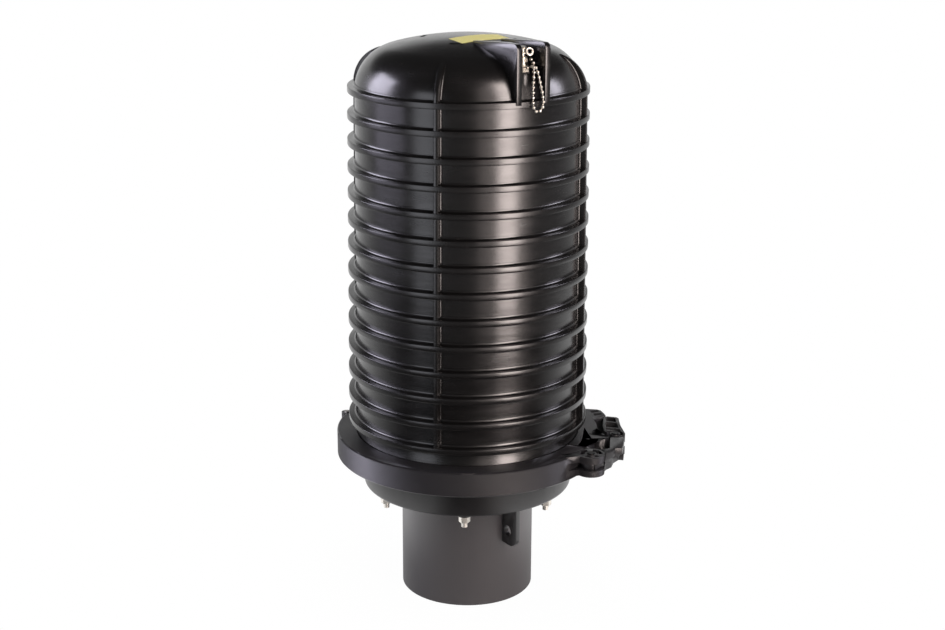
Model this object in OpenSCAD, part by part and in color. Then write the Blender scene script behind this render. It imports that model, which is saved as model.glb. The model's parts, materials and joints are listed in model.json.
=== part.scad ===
// Dome splice closure: a ribbed dome over a base and cable tube, held by a hinged
// two-part clamp with a lever latch, and a test valve with its cap on a bead chain.
// Z is up, the origin is on the tube's axis at its open end, millimetres.
// Azimuths are degrees about Z from the front (-Y) towards the right (+X).

/* [Cable tube] */
// Outside diameter of the cable tube
tube_od = 110; // [100:1:116]
// Wall of the cable tube
tube_wall = 5.3; // [4:0.1:7]
// Length of tube below the base
tube_drop = 93; // [75:1:120]
// Thickness of the tube's flange inside the base
tube_flange_t = 5; // [4:0.5:7]

/* [Base] */
// Outside radius of the base at its floor
base_r = 86.5; // [84:0.5:88]
// Height of the base from its underside to the clamp
base_skirt_h = 25.8; // [22:0.2:34]
// Wall and floor of the base
base_wall = 4; // [3:0.2:5]
// Radius of the circle of tube bolts
bolt_circle_r = 76; // [72:0.5:76.5]
// Number of tube bolts
bolt_count = 6; // [4:1:8]
// Azimuth of the first tube bolt
bolt_az = -1.5; // [-10:0.5:10]
// Thickness of the hanging lugs
lug_t = 4; // [3:0.5:6]
// Radius of the hole in a hanging lug
lug_hole_r = 4.5; // [3:0.5:5]

/* [Dome] */
// Outside radius of the dome's wall at its top
dome_r = 90.3; // [89:0.1:91]
// Outside radius of the dome's wall at its flange
dome_foot_r = 91.8; // [91:0.1:92.4]
// Height of the dome's wall above the parting face
dome_wall_h = 293.5; // [285:0.5:330]
// Wall of the dome
dome_wall = 3.6; // [2.5:0.1:4.5]
// Radius of the rounded shoulder
shoulder_r = 36; // [32:1:44]
// Radius of the domed top
crown_r = 240; // [200:5:400]
// Number of ring ribs
rib_count = 14; // [8:1:14]
// Distance between ring ribs
rib_pitch = 20.92; // [18:0.1:21]
// Height of a ring rib's outer face
rib_h = 4.8; // [3:0.1:7]
// Outside radius of the top ring rib
rib_r_top = 96.1; // [94:0.1:98]
// Outside radius of the bottom ring rib
rib_r_foot = 98.7; // [97:0.1:101]
// Width of the four upright ribs
upright_w = 3.8; // [3:0.1:6]
// Azimuth of the first upright rib
upright_az = -14.6; // [-18:0.1:-12]

/* [Valve pocket] */
// Azimuth of the valve pocket
pocket_az = 30.4; // [28:0.1:40]
// Clear width between the pocket's two walls
pocket_w = 20.7; // [18:0.1:24]
// Thickness of a pocket wall
pocket_wall = 4.2; // [3:0.1:5]
// Height of the pocket walls above the shoulder's centre
pocket_h = 46.8; // [44:0.1:50]
// Radius at which the valve stands
valve_r = 80; // [78:0.5:81]
// Diameter of the valve's threaded stem
valve_d = 5; // [4:0.1:5.4]
// Diameter of a chain bead
bead_d = 3.2; // [2.4:0.1:3.4]
// Distance between chain beads
bead_pitch = 4.1; // [3.9:0.1:4.6]

/* [Clamp] */
// Width of the two flanges beyond the dome's foot
flange_w = 11.7; // [11:0.1:14]
// Height of the clamp
clamp_h = 20.3; // [19.5:0.1:23]
// Thickness of the clamp's outer wall
clamp_wall = 4; // [3:0.1:4.4]
// Thickness of the clamp's lips at their inner edge
clamp_lip = 3.2; // [2.4:0.1:4]
// Azimuth of the clamp's hinge
hinge_az = -108; // [-112:0.5:-104]
// Diameter of the hinge barrel
hinge_d = 9; // [8.5:0.1:10]
// Diameter of the hinge pin
hinge_pin_d = 4; // [3:0.1:4.5]
// Diameter of the two latch pins
latch_pin_d = 6; // [4:0.1:6.5]
// Diameter of the main sealing ring's section
seal_d = 5; // [4:0.1:5.4]

/* [Splice trays] */
// Number of splice trays
tray_count = 4; // [4:1:4]
// Width of a splice tray
tray_w = 116; // [100:1:118]
// Length of a splice tray
tray_l = 200; // [160:1:230]
// Thickness of a splice tray
tray_t = 9; // [7:0.5:10]
// Wall of a splice tray
tray_wall = 1.6; // [1.2:0.1:2.4]

/* [Hidden] */
$fn = 96;
// fits
gap = 0.3;          // between pieces that move past each other
pin_gap = 0.05;     // radial running fit of every pin
seat_gap = 0.05;    // between round pieces that seat on each other

// cable tube and what it passes
tube_r = tube_od / 2;
tube_bore_r = tube_r - tube_wall;
floor_z = tube_drop;
floor_top = floor_z + base_wall + 1;
gasket_t = 2;
flange_z = floor_top + gasket_t;
flange_top = flange_z + tube_flange_t;
flange_r = base_r - base_wall - 1.5;

// tube bolts, M5
bolt_r = 2.5;
bolt_hole_r = 2.75;
washer_r = 5;
washer_t = 1;
nut_af = 8;
nut_h = 4.7;
pad_h = 2.4;
pad_r = 6.5;
bolt_tail = 4.3;
bolt_end_z = floor_z - pad_h - washer_t - nut_h - bolt_tail;

// clamp and flanges, about the parting plane
clamp_z = floor_z + base_skirt_h;
parting_z = clamp_z + clamp_h / 2;
parting_gap = 0.6;
clamp_top = clamp_z + clamp_h;
flange_out_r = dome_foot_r + flange_w;
groove_r = flange_out_r + 1.3;
clamp_r = groove_r + clamp_wall;
lip_taper = 1.2;
base_neck_r = base_r + 1.5;
lip_clear = 1.2;
top_lip_r = dome_foot_r + lip_clear;
foot_lip_r = base_neck_r + lip_clear;
flange_in_h = clamp_h / 2 - clamp_lip - gap;
flange_out_h = flange_in_h - lip_taper;
seal_r = (flange_out_r + dome_foot_r - dome_wall) / 2;

// dome, from the shoulder's centre
shoulder_z = parting_z + dome_wall_h;
shoulder_c = dome_r - shoulder_r;
crown_drop = sqrt(pow(crown_r - shoulder_r, 2) - pow(shoulder_c, 2));
crown_z = shoulder_z - crown_drop;
crown_angle = atan2(shoulder_c, crown_drop);
apex_z = crown_z + crown_r;
top_rib_z = shoulder_z + 4 - rib_h;
foot_rib_z = top_rib_z - (rib_count - 1) * rib_pitch;
rib_round = 1.2;
upright_set = 0.4;
upright_round = 30.5;
web_in_r = 31.8;
slot_r = 37;

// valve and its cap
boss_r = 7;
boss_top = shoulder_z + 23;
boss_in_z = shoulder_z + 9;
boss_in_r = boss_r + 2.5;
valve_gasket_t = 1.2;
hex_z = boss_top + valve_gasket_t;
hex_af = 9;
hex_h = 3.6;
ring_t = 0.8;
low_ring_z = hex_z + hex_h + seat_gap;
collar_z = low_ring_z + ring_t + seat_gap;
collar_r = 4;
collar_h = 2;
stem_top = collar_z + collar_h + 4;
cap_z = collar_z + collar_h + gap;
cap_r = 3.8;
cap_body_h = 4.8;
cap_neck_r = 1.7;
cap_neck_h = 5.4;
cap_knob_r = 3;
cap_knob_h = 2;
cap_rise = 2;
cap_seal_t = 0.7;
cap_ring_tilt = 12;
cap_ring_z = cap_z + cap_body_h + cap_neck_h - 1.55;
ring_r = 4.4;
tab_r = 1.5;

// latch, in a frame on the clamp's outside at its own azimuth:
// each point is [outwards, towards the hinge]
latch_az = 76;
front_end_az = 61.5; // [60:0.5:62]
rear_end_az = 63;
ear_pin = [3, -37.7];
lever_pin = [14.1, 12.6];
ear_r = 11.2;
hub_r = 6;
latch_top = clamp_top;
latch_foot = clamp_z + 3.7;
ear_top_t = 5.8;
ear_foot_t = 5.1;
tongue_z = latch_foot + ear_foot_t + gap;
tongue_h = latch_top - ear_top_t - gap - tongue_z;
knuckle_t = 4.9;
keeper_az = 107;

// splice trays and their frame
tray_step = tray_t + 2.5;
tray_z = parting_z + 60;
frame_y = 20;
frame_t = 2;
frame_w = tray_w + 2 * frame_t + 2;
frame_top = tray_z + tray_l + 12;
leg_w = 11;
frame_screw_x = frame_w / 2 - 6;
frame_screw_y = frame_y + 7;
bar_screw_x = tray_w / 2 - 18;
tray_pin_r = 1.5;
tray_pin_z = tray_z - 5;

// ---------- helpers ----------

function polar(r, az, z) = [r * sin(az), -r * cos(az), z];

// points of an arc, from angle a to angle b
function arc(c, r, a, b, n) = [for (i = [0:n]) let (t = a + (b - a) * i / n)
    [c[0] + r * cos(t), c[1] + r * sin(t)]];

// a profile of [radius, height] turned about the axis between two azimuths
module turned(profile, from = 0, to = 360) {
    rotate([0, 0, from - 90]) rotate_extrude(angle = to - from) polygon(profile);
}

// a profile of [radius, height] standing in the radial plane at an azimuth
module radial_plate(az, t, offset = 0) {
    rotate([0, 0, az]) translate([offset, 0, 0]) rotate([90, 0, -90])
        linear_extrude(height = t, center = true) children();
}

// moves children to a place at a radius and azimuth, outwards being -Y
module at(r, az, z = 0) {
    rotate([0, 0, az]) translate([0, -r, z]) children();
}

// copies children round the bolt circle
module on_bolts() {
    for (i = [0:bolt_count - 1]) at(bolt_circle_r, bolt_az + i * 360 / bolt_count) children();
}

module tube_of(h, r_out, r_in) {
    difference() {
        cylinder(h = h, r = r_out);
        translate([0, 0, -1]) cylinder(h = h + 2, r = r_in);
    }
}

module hexagon(af, h) {
    cylinder(h = h, r = af / 2 / cos(30), $fn = 6);
}

// a straight round rod between two points
module rod(a, b, r) {
    d = b - a;
    translate(a) rotate([0, acos(d[2] / norm(d)), atan2(d[1], d[0])])
        cylinder(h = norm(d), r = r, $fn = 24);
}

// ---------- dome ----------

function rib_r_at(z) = rib_r_top + (rib_r_foot - rib_r_top)
    * (top_rib_z - z) / (top_rib_z - foot_rib_z);

// wall and rounded top, drawn inwards by an offset
function dome_outline(inset, foot) = concat(
    [[0, foot], [dome_foot_r - inset, foot]],
    arc([shoulder_c, shoulder_z], shoulder_r - inset, 0, 90 - crown_angle, 16),
    arc([0, crown_z], crown_r - inset, 90 - crown_angle, 90, 8)
);

module ring_rib(z) {
    r = rib_r_at(z);
    turned(concat(
        [[dome_r - dome_wall / 2, z]],
        arc([r - rib_round, z + rib_round], rib_round, -90, 0, 4),
        arc([r - rib_round, z + rib_h - rib_round], rib_round, 0, 90, 4),
        [[dome_r - dome_wall / 2, z + rib_h]]
    ));
}

// an upright rib runs just inside the ring ribs and fades out over the shoulder
module upright_rib(az) {
    top_r = rib_r_top - upright_set;
    foot_r = rib_r_foot - upright_set;
    centre_r = top_r - upright_round;
    radial_plate(az, upright_w) polygon(concat(
        [[centre_r, shoulder_z], [dome_r - 10, foot_rib_z], [foot_r, foot_rib_z + 1]],
        arc([centre_r, shoulder_z + 1.5], upright_round, 0, 84, 12)
    ));
}

module pocket_web(side) {
    corner = 5;
    top = shoulder_z + pocket_h;
    radial_plate(pocket_az, pocket_wall, side * (pocket_w + pocket_wall) / 2) polygon(concat(
        [[60, top_rib_z + rib_h / 2], [rib_r_top, top_rib_z + rib_h / 2]],
        arc([rib_r_top - corner, top - corner], corner, 0, 90, 6),
        [[valve_r, top], [web_in_r, apex_z - 0.6], [web_in_r, apex_z - 12]]
    ));
}

module dome() {
    flange_z0 = parting_z + parting_gap / 2;
    color("#1b1b1c") difference() {
        union() {
            rotate_extrude() polygon(dome_outline(0, flange_z0));
            turned([
                [dome_foot_r - 2, flange_z0], [flange_out_r, flange_z0],
                [flange_out_r, flange_z0 + flange_out_h - 0.3],
                [top_lip_r, parting_z + flange_in_h], [dome_foot_r, parting_z + flange_in_h + 1],
                [dome_foot_r - 2, parting_z + flange_in_h + 1]
            ]);
            for (i = [0:rib_count - 1]) ring_rib(top_rib_z - i * rib_pitch);
            for (i = [0:3]) upright_rib(upright_az + 90 * i);
            for (side = [-1, 1]) pocket_web(side);
            at(valve_r, pocket_az, shoulder_z) cylinder(h = boss_top - shoulder_z, r = boss_r);
        }
        difference() {
            translate([0, 0, -1]) rotate_extrude()
                polygon(dome_outline(dome_wall, flange_z0 - 1));
            at(valve_r, pocket_az, boss_in_z) cylinder(h = 40, r = boss_in_r);
        }
        at(valve_r, pocket_az, shoulder_z) cylinder(h = 40, r = valve_d / 2 + 0.1);
        at(valve_r, pocket_az, boss_top) cylinder(h = 30, r = boss_r + 0.2);
        for (i = [0:3]) at(slot_r, upright_az + 90 * i, apex_z - 4)
            translate([-5.5, -2, 0]) cube([11, 4, 10]);
    }
}

// ---------- base and cable tube ----------

module hanging_lug(az) {
    out_r = tube_r + 20;
    low_z = floor_z - 38;
    corner = 9;
    radial_plate(az, lug_t) difference() {
        polygon(concat(
            [[tube_r + 0.6, floor_z + 1], [tube_r + 0.6, low_z]],
            arc([out_r - corner, low_z + corner], corner, -90, 0, 8),
            [[out_r, floor_z + 1]]
        ));
        translate([tube_r + 8, floor_z - 25.7]) circle(r = lug_hole_r);
    }
}

module base() {
    round_r = 2;
    neck_z = parting_z - flange_in_h;
    rim_z = parting_z - parting_gap / 2;
    color("#202021") difference() {
        union() {
            turned(concat(
                [[tube_r + gap, floor_z]],
                arc([base_r - round_r, floor_z + round_r], round_r, -90, 0, 6),
                [[base_neck_r, clamp_z], [base_neck_r, neck_z - 1],
                 [foot_lip_r, neck_z], [flange_out_r, rim_z - flange_out_h],
                 [flange_out_r, rim_z], [base_neck_r - base_wall, rim_z],
                 [base_r - base_wall, floor_top + 3], [base_r - base_wall - 0.5, floor_top],
                 [tube_r + gap, floor_top]]
            ));
            on_bolts() translate([0, 0, floor_z - pad_h]) cylinder(h = pad_h + 1, r = pad_r);
            for (i = [0, 1]) hanging_lug(33.6 + 180 * i);
        }
        translate([0, 0, rim_z - seal_d + parting_gap]) tube_of(seal_d, seal_r + 3.1, seal_r - 3.1);
        on_bolts() translate([0, 0, floor_z - 10]) cylinder(h = 30, r = bolt_hole_r);
    }
}

module tube() {
    color("#4b494a") difference() {
        turned([
            [tube_bore_r, 0], [tube_r - 1, 0], [tube_r, 1], [tube_r, flange_z],
            [flange_r, flange_z], [flange_r, flange_top], [tube_bore_r, flange_top]
        ]);
        on_bolts() translate([0, 0, flange_z - 1]) cylinder(h = 20, r = bolt_hole_r);
        for (side = [-1, 1]) translate([side * frame_screw_x, frame_screw_y, flange_z - 1])
            cylinder(h = 20, r = 2);
    }
}

module tube_gasket() {
    color("#2a2a2a") translate([0, 0, floor_top]) difference() {
        tube_of(gasket_t, flange_r, tube_r + gap);
        on_bolts() translate([0, 0, -1]) cylinder(h = gasket_t + 2, r = bolt_hole_r);
    }
}

module tube_bolts() {
    color("silver") on_bolts() {
        translate([0, 0, bolt_end_z]) cylinder(h = flange_top - bolt_end_z, r = bolt_r);
        translate([0, 0, flange_top]) difference() {
            hexagon(nut_af, 3.5);
            translate([0, 0, 3]) cylinder(h = 1, r = 2.6);
        }
    }
}

module tube_washers() {
    color("silver") on_bolts() translate([0, 0, floor_z - pad_h - washer_t])
        tube_of(washer_t, washer_r, bolt_hole_r);
}

module tube_nuts() {
    color("silver") on_bolts() translate([0, 0, floor_z - pad_h - washer_t - nut_h])
        difference() {
            intersection() {
                hexagon(nut_af, nut_h);
                translate([0, 0, -2.4]) cylinder(h = nut_h + 4.8, r1 = 3.1, r2 = 8.3);
            }
            translate([0, 0, -1]) cylinder(h = nut_h + 2, r = bolt_r + seat_gap);
        }
}

module main_seal() {
    color("#33302e") translate([0, 0, parting_z + parting_gap / 2 - seal_d / 2])
        rotate_extrude() translate([seal_r, 0]) circle(r = seal_d / 2 - seat_gap, $fn = 32);
}

// ---------- clamp ----------

// half of the clamp between two azimuths, hollow over both flanges
module clamp_channel(from, to) {
    edge = 1;
    half = clamp_h / 2;
    in_z = half - clamp_lip;
    turned([
        [clamp_r - edge, clamp_z], [clamp_r, clamp_z + edge],
        [clamp_r, clamp_top - edge], [clamp_r - edge, clamp_top],
        [top_lip_r, clamp_top], [top_lip_r, parting_z + in_z],
        [groove_r, parting_z + in_z - lip_taper], [groove_r, parting_z - in_z + lip_taper],
        [foot_lip_r, parting_z - in_z], [foot_lip_r, clamp_z]
    ], from, to);
}

// the hinge's barrel stands on the clamp's outside
module at_hinge(z) {
    at(clamp_r, hinge_az, z) children();
}

knuckle_h = clamp_h / 3;

// latch points in the clamp's plane
function latch_xy(p) = [p[1], -p[0]];

module at_latch(z) {
    rotate([0, 0, latch_az]) translate([0, -clamp_r, z]) children();
}

module latch_disc(p, r, h) {
    translate(concat(latch_xy(p), [0])) cylinder(h = h, r = r);
}

module latch_plate(points, h) {
    linear_extrude(height = h) polygon([for (p = points) latch_xy(p)]);
}

// one of the two ears that hold the link's pin
module ear_plate(h) {
    latch_plate([[-14, -52], [-4.5, -46.2], [3, -48.9], [3, -37], [-8, -38.5], [-20, -46]], h);
    latch_disc(ear_pin, ear_r, h);
}

module ear_pockets() {
    for (a = [0:2]) translate(concat(latch_xy(ear_pin), [latch_top - 4.5]))
        rotate([0, 0, 120 * a + 35]) rotate_extrude(angle = 85)
            polygon([[4.8, 0], [9.2, 0], [9.2, 6], [4.8, 6]]);
}

module clamp_front() {
    color("#3d3c3e") difference() {
        union() {
            clamp_channel(hinge_az + 0.6, front_end_az);
            at_hinge(clamp_z) cylinder(h = knuckle_h - gap / 2, r = hinge_d / 2);
            at_hinge(clamp_top - knuckle_h + gap / 2)
                cylinder(h = knuckle_h - gap / 2, r = hinge_d / 2);
            difference() {
                union() {
                    at_latch(latch_foot) ear_plate(ear_foot_t);
                    at_latch(latch_top - ear_top_t) ear_plate(ear_top_t);
                }
                translate([0, 0, clamp_z]) cylinder(h = clamp_h, r = groove_r + 1);
            }
        }
        at_hinge(clamp_z + knuckle_h - gap / 2)
            cylinder(h = knuckle_h + gap, r = hinge_d / 2 + 0.4);
        at_hinge(clamp_z - 1) cylinder(h = clamp_h + 2, r = hinge_pin_d / 2 + pin_gap);
        at_latch(clamp_z) latch_disc(ear_pin, latch_pin_d / 2 + pin_gap, clamp_h + 2);
        at_latch(0) ear_pockets();
    }
}

// the block that the lever's hub draws against
module draw_block() {
    latch_plate([[-8, 5.5], [3.5, 7.2], [9.8, 6.3], [10.4, 4.5], [10.2, 1.5],
                 [6.5, -2.2], [-8, -5.5]], latch_top - latch_foot);
}

// the rib-stiffened lug that the lever's end lies against
module keeper() {
    out = clamp_r + 12;
    difference() {
        rotate([0, 0, keeper_az]) linear_extrude(height = latch_top - latch_foot) polygon([
            [-16, -groove_r], [-11, -out + 3], [-9.5, -out + 0.6], [-4, -out], [4, -out],
            [7, -out + 2], [14, -groove_r]
        ]);
        for (x = [-4.5, 3]) rotate([0, 0, keeper_az]) translate([x, 0, 8]) linear_extrude(height = 20)
            polygon([[-3, -clamp_r - 2.5], [3, -clamp_r - 2.5], [2, -out + 2.2], [-1, -out + 2.2]]);
    }
}

module clamp_rear() {
    color("#3d3c3e") difference() {
        union() {
            clamp_channel(rear_end_az, 360 + hinge_az - 0.6);
            at_hinge(clamp_z + knuckle_h + gap / 2)
                cylinder(h = knuckle_h - gap, r = hinge_d / 2);
            difference() {
                union() {
                    at_latch(latch_foot) draw_block();
                    translate([0, 0, latch_foot]) keeper();
                }
                translate([0, 0, clamp_z]) cylinder(h = clamp_h, r = groove_r + 1);
            }
        }
        at_hinge(clamp_z - 1) cylinder(h = knuckle_h + gap / 2 + 1, r = hinge_d / 2 + 0.4);
        at_hinge(clamp_top - knuckle_h - gap / 2)
            cylinder(h = knuckle_h + 2, r = hinge_d / 2 + 0.4);
        at_hinge(clamp_z - 1) cylinder(h = clamp_h + 2, r = hinge_pin_d / 2 + pin_gap);
    }
}

module hinge_pin() {
    color("#9a9a9c") at_hinge(clamp_z - 0.8) {
        cylinder(h = clamp_h + 1.6, r = hinge_pin_d / 2);
        cylinder(h = 0.7, r = hinge_pin_d / 2 + 0.8);
    }
}

// ---------- latch ----------

link_outline = [[9, -44], [19.3, -27.8], [20.2, -21.5], [25.4, -19.5], [24.8, -9],
                [23.4, 4], [20.5, 6.5], [13, 3.5], [12.2, 0], [15.8, -22.5], [9.5, -26.8], [3, -26]];
link_core = [[11, -40], [16.5, -28.5], [17.8, -20], [22.5, -16.5], [21.8, -9],
             [20.4, 4], [18, 4], [14.5, 0], [16.5, -20], [15, -24.5], [9, -30]];

module link_plate(h) {
    difference() {
        latch_plate(link_outline, h);
        translate([0, 0, -1]) latch_disc(ear_pin, ear_r + gap + 0.2, h + 2);
        translate([0, 0, -1]) latch_disc(lever_pin, hub_r + 3.6, h + 2);
    }
}

module latch_link() {
    z_foot = tongue_z;
    z_top = tongue_z + tongue_h;
    color("#353436") at_latch(0) difference() {
        union() {
            translate([0, 0, latch_foot]) link_plate(ear_foot_t);
            translate([0, 0, latch_top - ear_top_t]) link_plate(ear_top_t);
            translate([0, 0, latch_foot + 1]) difference() {
                latch_plate(link_core, latch_top - latch_foot - 2);
                translate([0, 0, -1]) latch_disc(ear_pin, ear_r + gap + 0.2, latch_top);
            }
            translate([0, 0, z_foot]) {
                latch_disc(ear_pin, 7.5, tongue_h);
                latch_plate([[-1.5, -32], [8, -45], [13, -34], [11, -27]], tongue_h);
                latch_disc(lever_pin, hub_r - 0.4, tongue_h);
                latch_plate([[10.5, 9], [14, 0], [22.5, 0], [19, 14]], tongue_h);
            }
        }
        // the lower half stands back from the upper one
        translate([0, 0, latch_foot - 1]) latch_plate([
            [20.4, -4], [17.4, -12.5], [17.4, -22], [14, -29], [13, -38], [12, -45], [30, -45], [30, -4]
        ], 8);
        translate([0, 0, z_foot - 1]) latch_disc(ear_pin, latch_pin_d / 2 + pin_gap, tongue_h + 2);
        translate([0, 0, z_foot - 1]) latch_disc(lever_pin, latch_pin_d / 2 + pin_gap, tongue_h + 2);
    }
}

lever_outline = [[8.6, 11.5], [4.3, 16.5], [0.9, 29], [-1.4, 46], [-1.2, 50.5], [0.6, 52.2],
                 [8.6, 52.2], [10.8, 50], [15.4, 32.7], [22.2, 15], [23, 10], [20, 5.5]];
lever_inner = [[11, 20.5], [5.5, 19.5], [3.1, 30], [1, 46], [1.2, 49.6],
               [8, 49.6], [12.8, 32.7], [18.2, 19]];

module latch_lever() {
    h = latch_top - latch_foot;
    web = 2;
    rail_t = 2.4;
    color("#353436") at_latch(latch_foot) difference() {
        union() {
            difference() {
                latch_plate(lever_outline, h);
                translate([0, 0, -1]) latch_plate(lever_inner, h + 2);
            }
            translate([0, 0, (h - web) / 2]) latch_plate(lever_inner, web);
            for (u = [24, 38]) intersection() {
                latch_plate(lever_inner, h);
                latch_plate([[-5, u], [25, u], [25, u + rail_t], [-5, u + rail_t]], h);
            }
            latch_disc(lever_pin, hub_r, h);
        }
        // slot for the link's knuckle between the lever's two cheeks
        translate([0, 0, tongue_z - latch_foot - gap]) {
            latch_disc(lever_pin, hub_r + 4, tongue_h + 2 * gap);
        }
        // the cheeks end at the hub where the lever swings past the link
        translate([0, 0, -1]) difference() {
            latch_plate([[5, 12.6], [25, 12.6], [25, -5], [5, -5]], h + 2);
            latch_disc(lever_pin, hub_r, h + 2);
            latch_plate([[14, 12.7], [25, 12.7], [25, 2], [18, 2]], h + 2);
        }
        translate([0, 0, -1]) difference() {
            latch_plate([[14, 12.6], [26, 12.6], [26, 0], [14, 0]], h + 2);
            latch_disc(lever_pin, hub_r + 3, h + 2);
        }
        // the top cheek is sunk round the pin
        translate([0, 0, h - 2.2]) difference() {
            latch_disc(lever_pin, hub_r + 1, 3);
            latch_disc(lever_pin, latch_pin_d / 2 + 1.4, 4);
        }
        translate([0, 0, -1]) latch_disc(lever_pin, latch_pin_d / 2 + pin_gap, h + 2);
    }
}

module latch_pin(p) {
    at_latch(latch_foot - 1) {
        latch_disc(p, latch_pin_d / 2, latch_top - latch_foot + 1.8);
        latch_disc(p, latch_pin_d / 2 + 0.7, 0.9);
    }
}

module link_pin() { color("#2c2c2e") latch_pin(ear_pin); }
module lever_pin() { color("#2c2c2e") latch_pin(lever_pin); }

// ---------- test valve ----------

module at_valve(z = 0) {
    at(valve_r, pocket_az, z) children();
}

module valve_body() {
    color("#c9c4ba") at_valve() difference() {
        union() {
            translate([0, 0, boss_in_z - 8]) cylinder(h = stem_top - boss_in_z + 8, r = valve_d / 2);
            translate([0, 0, hex_z]) hexagon(hex_af, hex_h);
            translate([0, 0, collar_z]) cylinder(h = collar_h, r = collar_r);
        }
        translate([0, 0, boss_in_z - 9]) cylinder(h = 60, r = 1.2);
    }
}

module valve_core() {
    color("#b59a4a") at_valve(boss_in_z + 4)
        cylinder(h = stem_top - boss_in_z - 5, r = 1.2 - seat_gap, $fn = 32);
}

module valve_gasket() {
    color("#222222") at_valve(boss_top)
        tube_of(valve_gasket_t, boss_r - 1.5, valve_d / 2 + seat_gap);
}

module valve_washer() {
    color("silver") at_valve(boss_in_z - 1) tube_of(1, 4.4, valve_d / 2 + seat_gap);
}

module valve_nut() {
    color("silver") at_valve(boss_in_z - 1 - 3.2) difference() {
        hexagon(7.4, 3.2);
        translate([0, 0, -1]) cylinder(h = 6, r = valve_d / 2 + seat_gap);
    }
}

// knurled cap with a neck that the chain's ring hangs on
module valve_cap() {
    neck_z = cap_body_h;
    color("#d2cdc2") at_valve(cap_z) difference() {
        union() {
            turned([[0, 0], [cap_r - 0.4, 0], [cap_r, 0.4], [cap_r, neck_z - 0.6],
                    [cap_r - 0.6, neck_z], [cap_neck_r, neck_z], [cap_neck_r, neck_z + cap_neck_h],
                    [cap_knob_r, neck_z + cap_neck_h + 0.5],
                    [cap_knob_r, neck_z + cap_neck_h + cap_knob_h - 0.5],
                    [cap_knob_r - 0.6, neck_z + cap_neck_h + cap_knob_h],
                    [0, neck_z + cap_neck_h + cap_knob_h]]);
        }
        translate([0, 0, -1]) cylinder(h = stem_top - cap_z + cap_seal_t + seat_gap + 1,
            r = valve_d / 2 + pin_gap);
        for (i = [0:17]) rotate([0, 0, 20 * i]) translate([cap_r + 0.15, 0, 0.8])
            cylinder(h = neck_z - 2, r = 0.35, $fn = 6);
    }
}

module cap_seal() {
    color("#222222") at_valve(stem_top + seat_gap / 2)
        cylinder(h = cap_seal_t, r = valve_d / 2 - 0.2);
}

// flat ring with a tab that holds the chain's end
module chain_ring(hole_r, tab_l) {
    difference() {
        union() {
            cylinder(h = ring_t, r = ring_r);
            translate([-tab_r, -ring_r - tab_l, 0]) cube([2 * tab_r, tab_l + 1.4, ring_t]);
            translate([0, -ring_r - tab_l, 0]) cylinder(h = ring_t, r = tab_r);
        }
        translate([0, 0, -1]) cylinder(h = ring_t + 2, r = hole_r);
    }
}

module cap_ring() {
    color("#d2cdc2") at_valve(cap_ring_z - ring_t) rotate([cap_ring_tilt, 0, 20])
        chain_ring(2.5, 2.6);
}

module valve_ring() {
    color("#c9c4ba") at_valve(low_ring_z) rotate([0, 0, -8]) chain_ring(valve_d / 2 + 0.2, 1.2);
}

// the chain's route beside the valve: [sideways, outwards, up] from the valve's foot
chain_route = [
    [2.2, 8.8, 11.2], [2.2, 12.2, 9], [0.8, 15, 2], [-0.6, 16.6, -4], [-1.5, 17.9, -11],
    [-1.8, 18.4, -18], [-1.6, 18.5, -23], [0.6, 18.5, -26.2], [3.6, 18.5, -26.9],
    [6.4, 18.5, -24.6], [7.3, 18.4, -20], [6.4, 18.2, -13], [5.2, 16.8, -5], [4.9, 14, 2],
    [4.4, 11.4, 6], [2, 11.2, 6.6], [-1.25, 8.95, 5.25]
];

function route_len(i) = i <= 0 ? 0
    : route_len(i - 1) + norm(chain_route[i] - chain_route[i - 1]);

// the place at a distance along the route
function on_route(d, i = 1) = (i >= len(chain_route) - 1 || route_len(i) >= d)
    ? let (k = (d - route_len(i - 1)) / (route_len(i) - route_len(i - 1)))
        chain_route[i - 1] + k * (chain_route[i] - chain_route[i - 1])
    : on_route(d, i + 1);

module bead_chain() {
    last = len(chain_route) - 1;
    beads = floor(route_len(last) / bead_pitch);
    step = route_len(last) / beads;
    places = [for (i = [0:beads]) let (p = on_route(i * step)) [p[0], -p[1], p[2]]];
    color("#d8d4ca") at_valve(boss_top) {
        for (p = places) translate(p) sphere(r = bead_d / 2, $fn = 20);
        for (i = [1:beads]) rod(places[i - 1], places[i], 0.6);
    }
}

// a plain sticker that follows the domed top
module sticker() {
    skin = 0.25;
    size = [45.2, 18.6];
    color("#d9d489") intersection() {
        difference() {
            translate([0, 0, crown_z]) sphere(r = crown_r + seat_gap + skin, $fn = 200);
            translate([0, 0, crown_z]) sphere(r = crown_r + seat_gap, $fn = 200);
        }
        at(web_in_r - 14, pocket_az, apex_z - 12) rotate([0, 0, 3.7])
            translate([-size[0] / 2 - 0.5, -size[1] / 2, 0]) cube([size[0], size[1], 20]);
    }
}

// ---------- splice trays ----------

tray_front = frame_y - 3;

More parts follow.
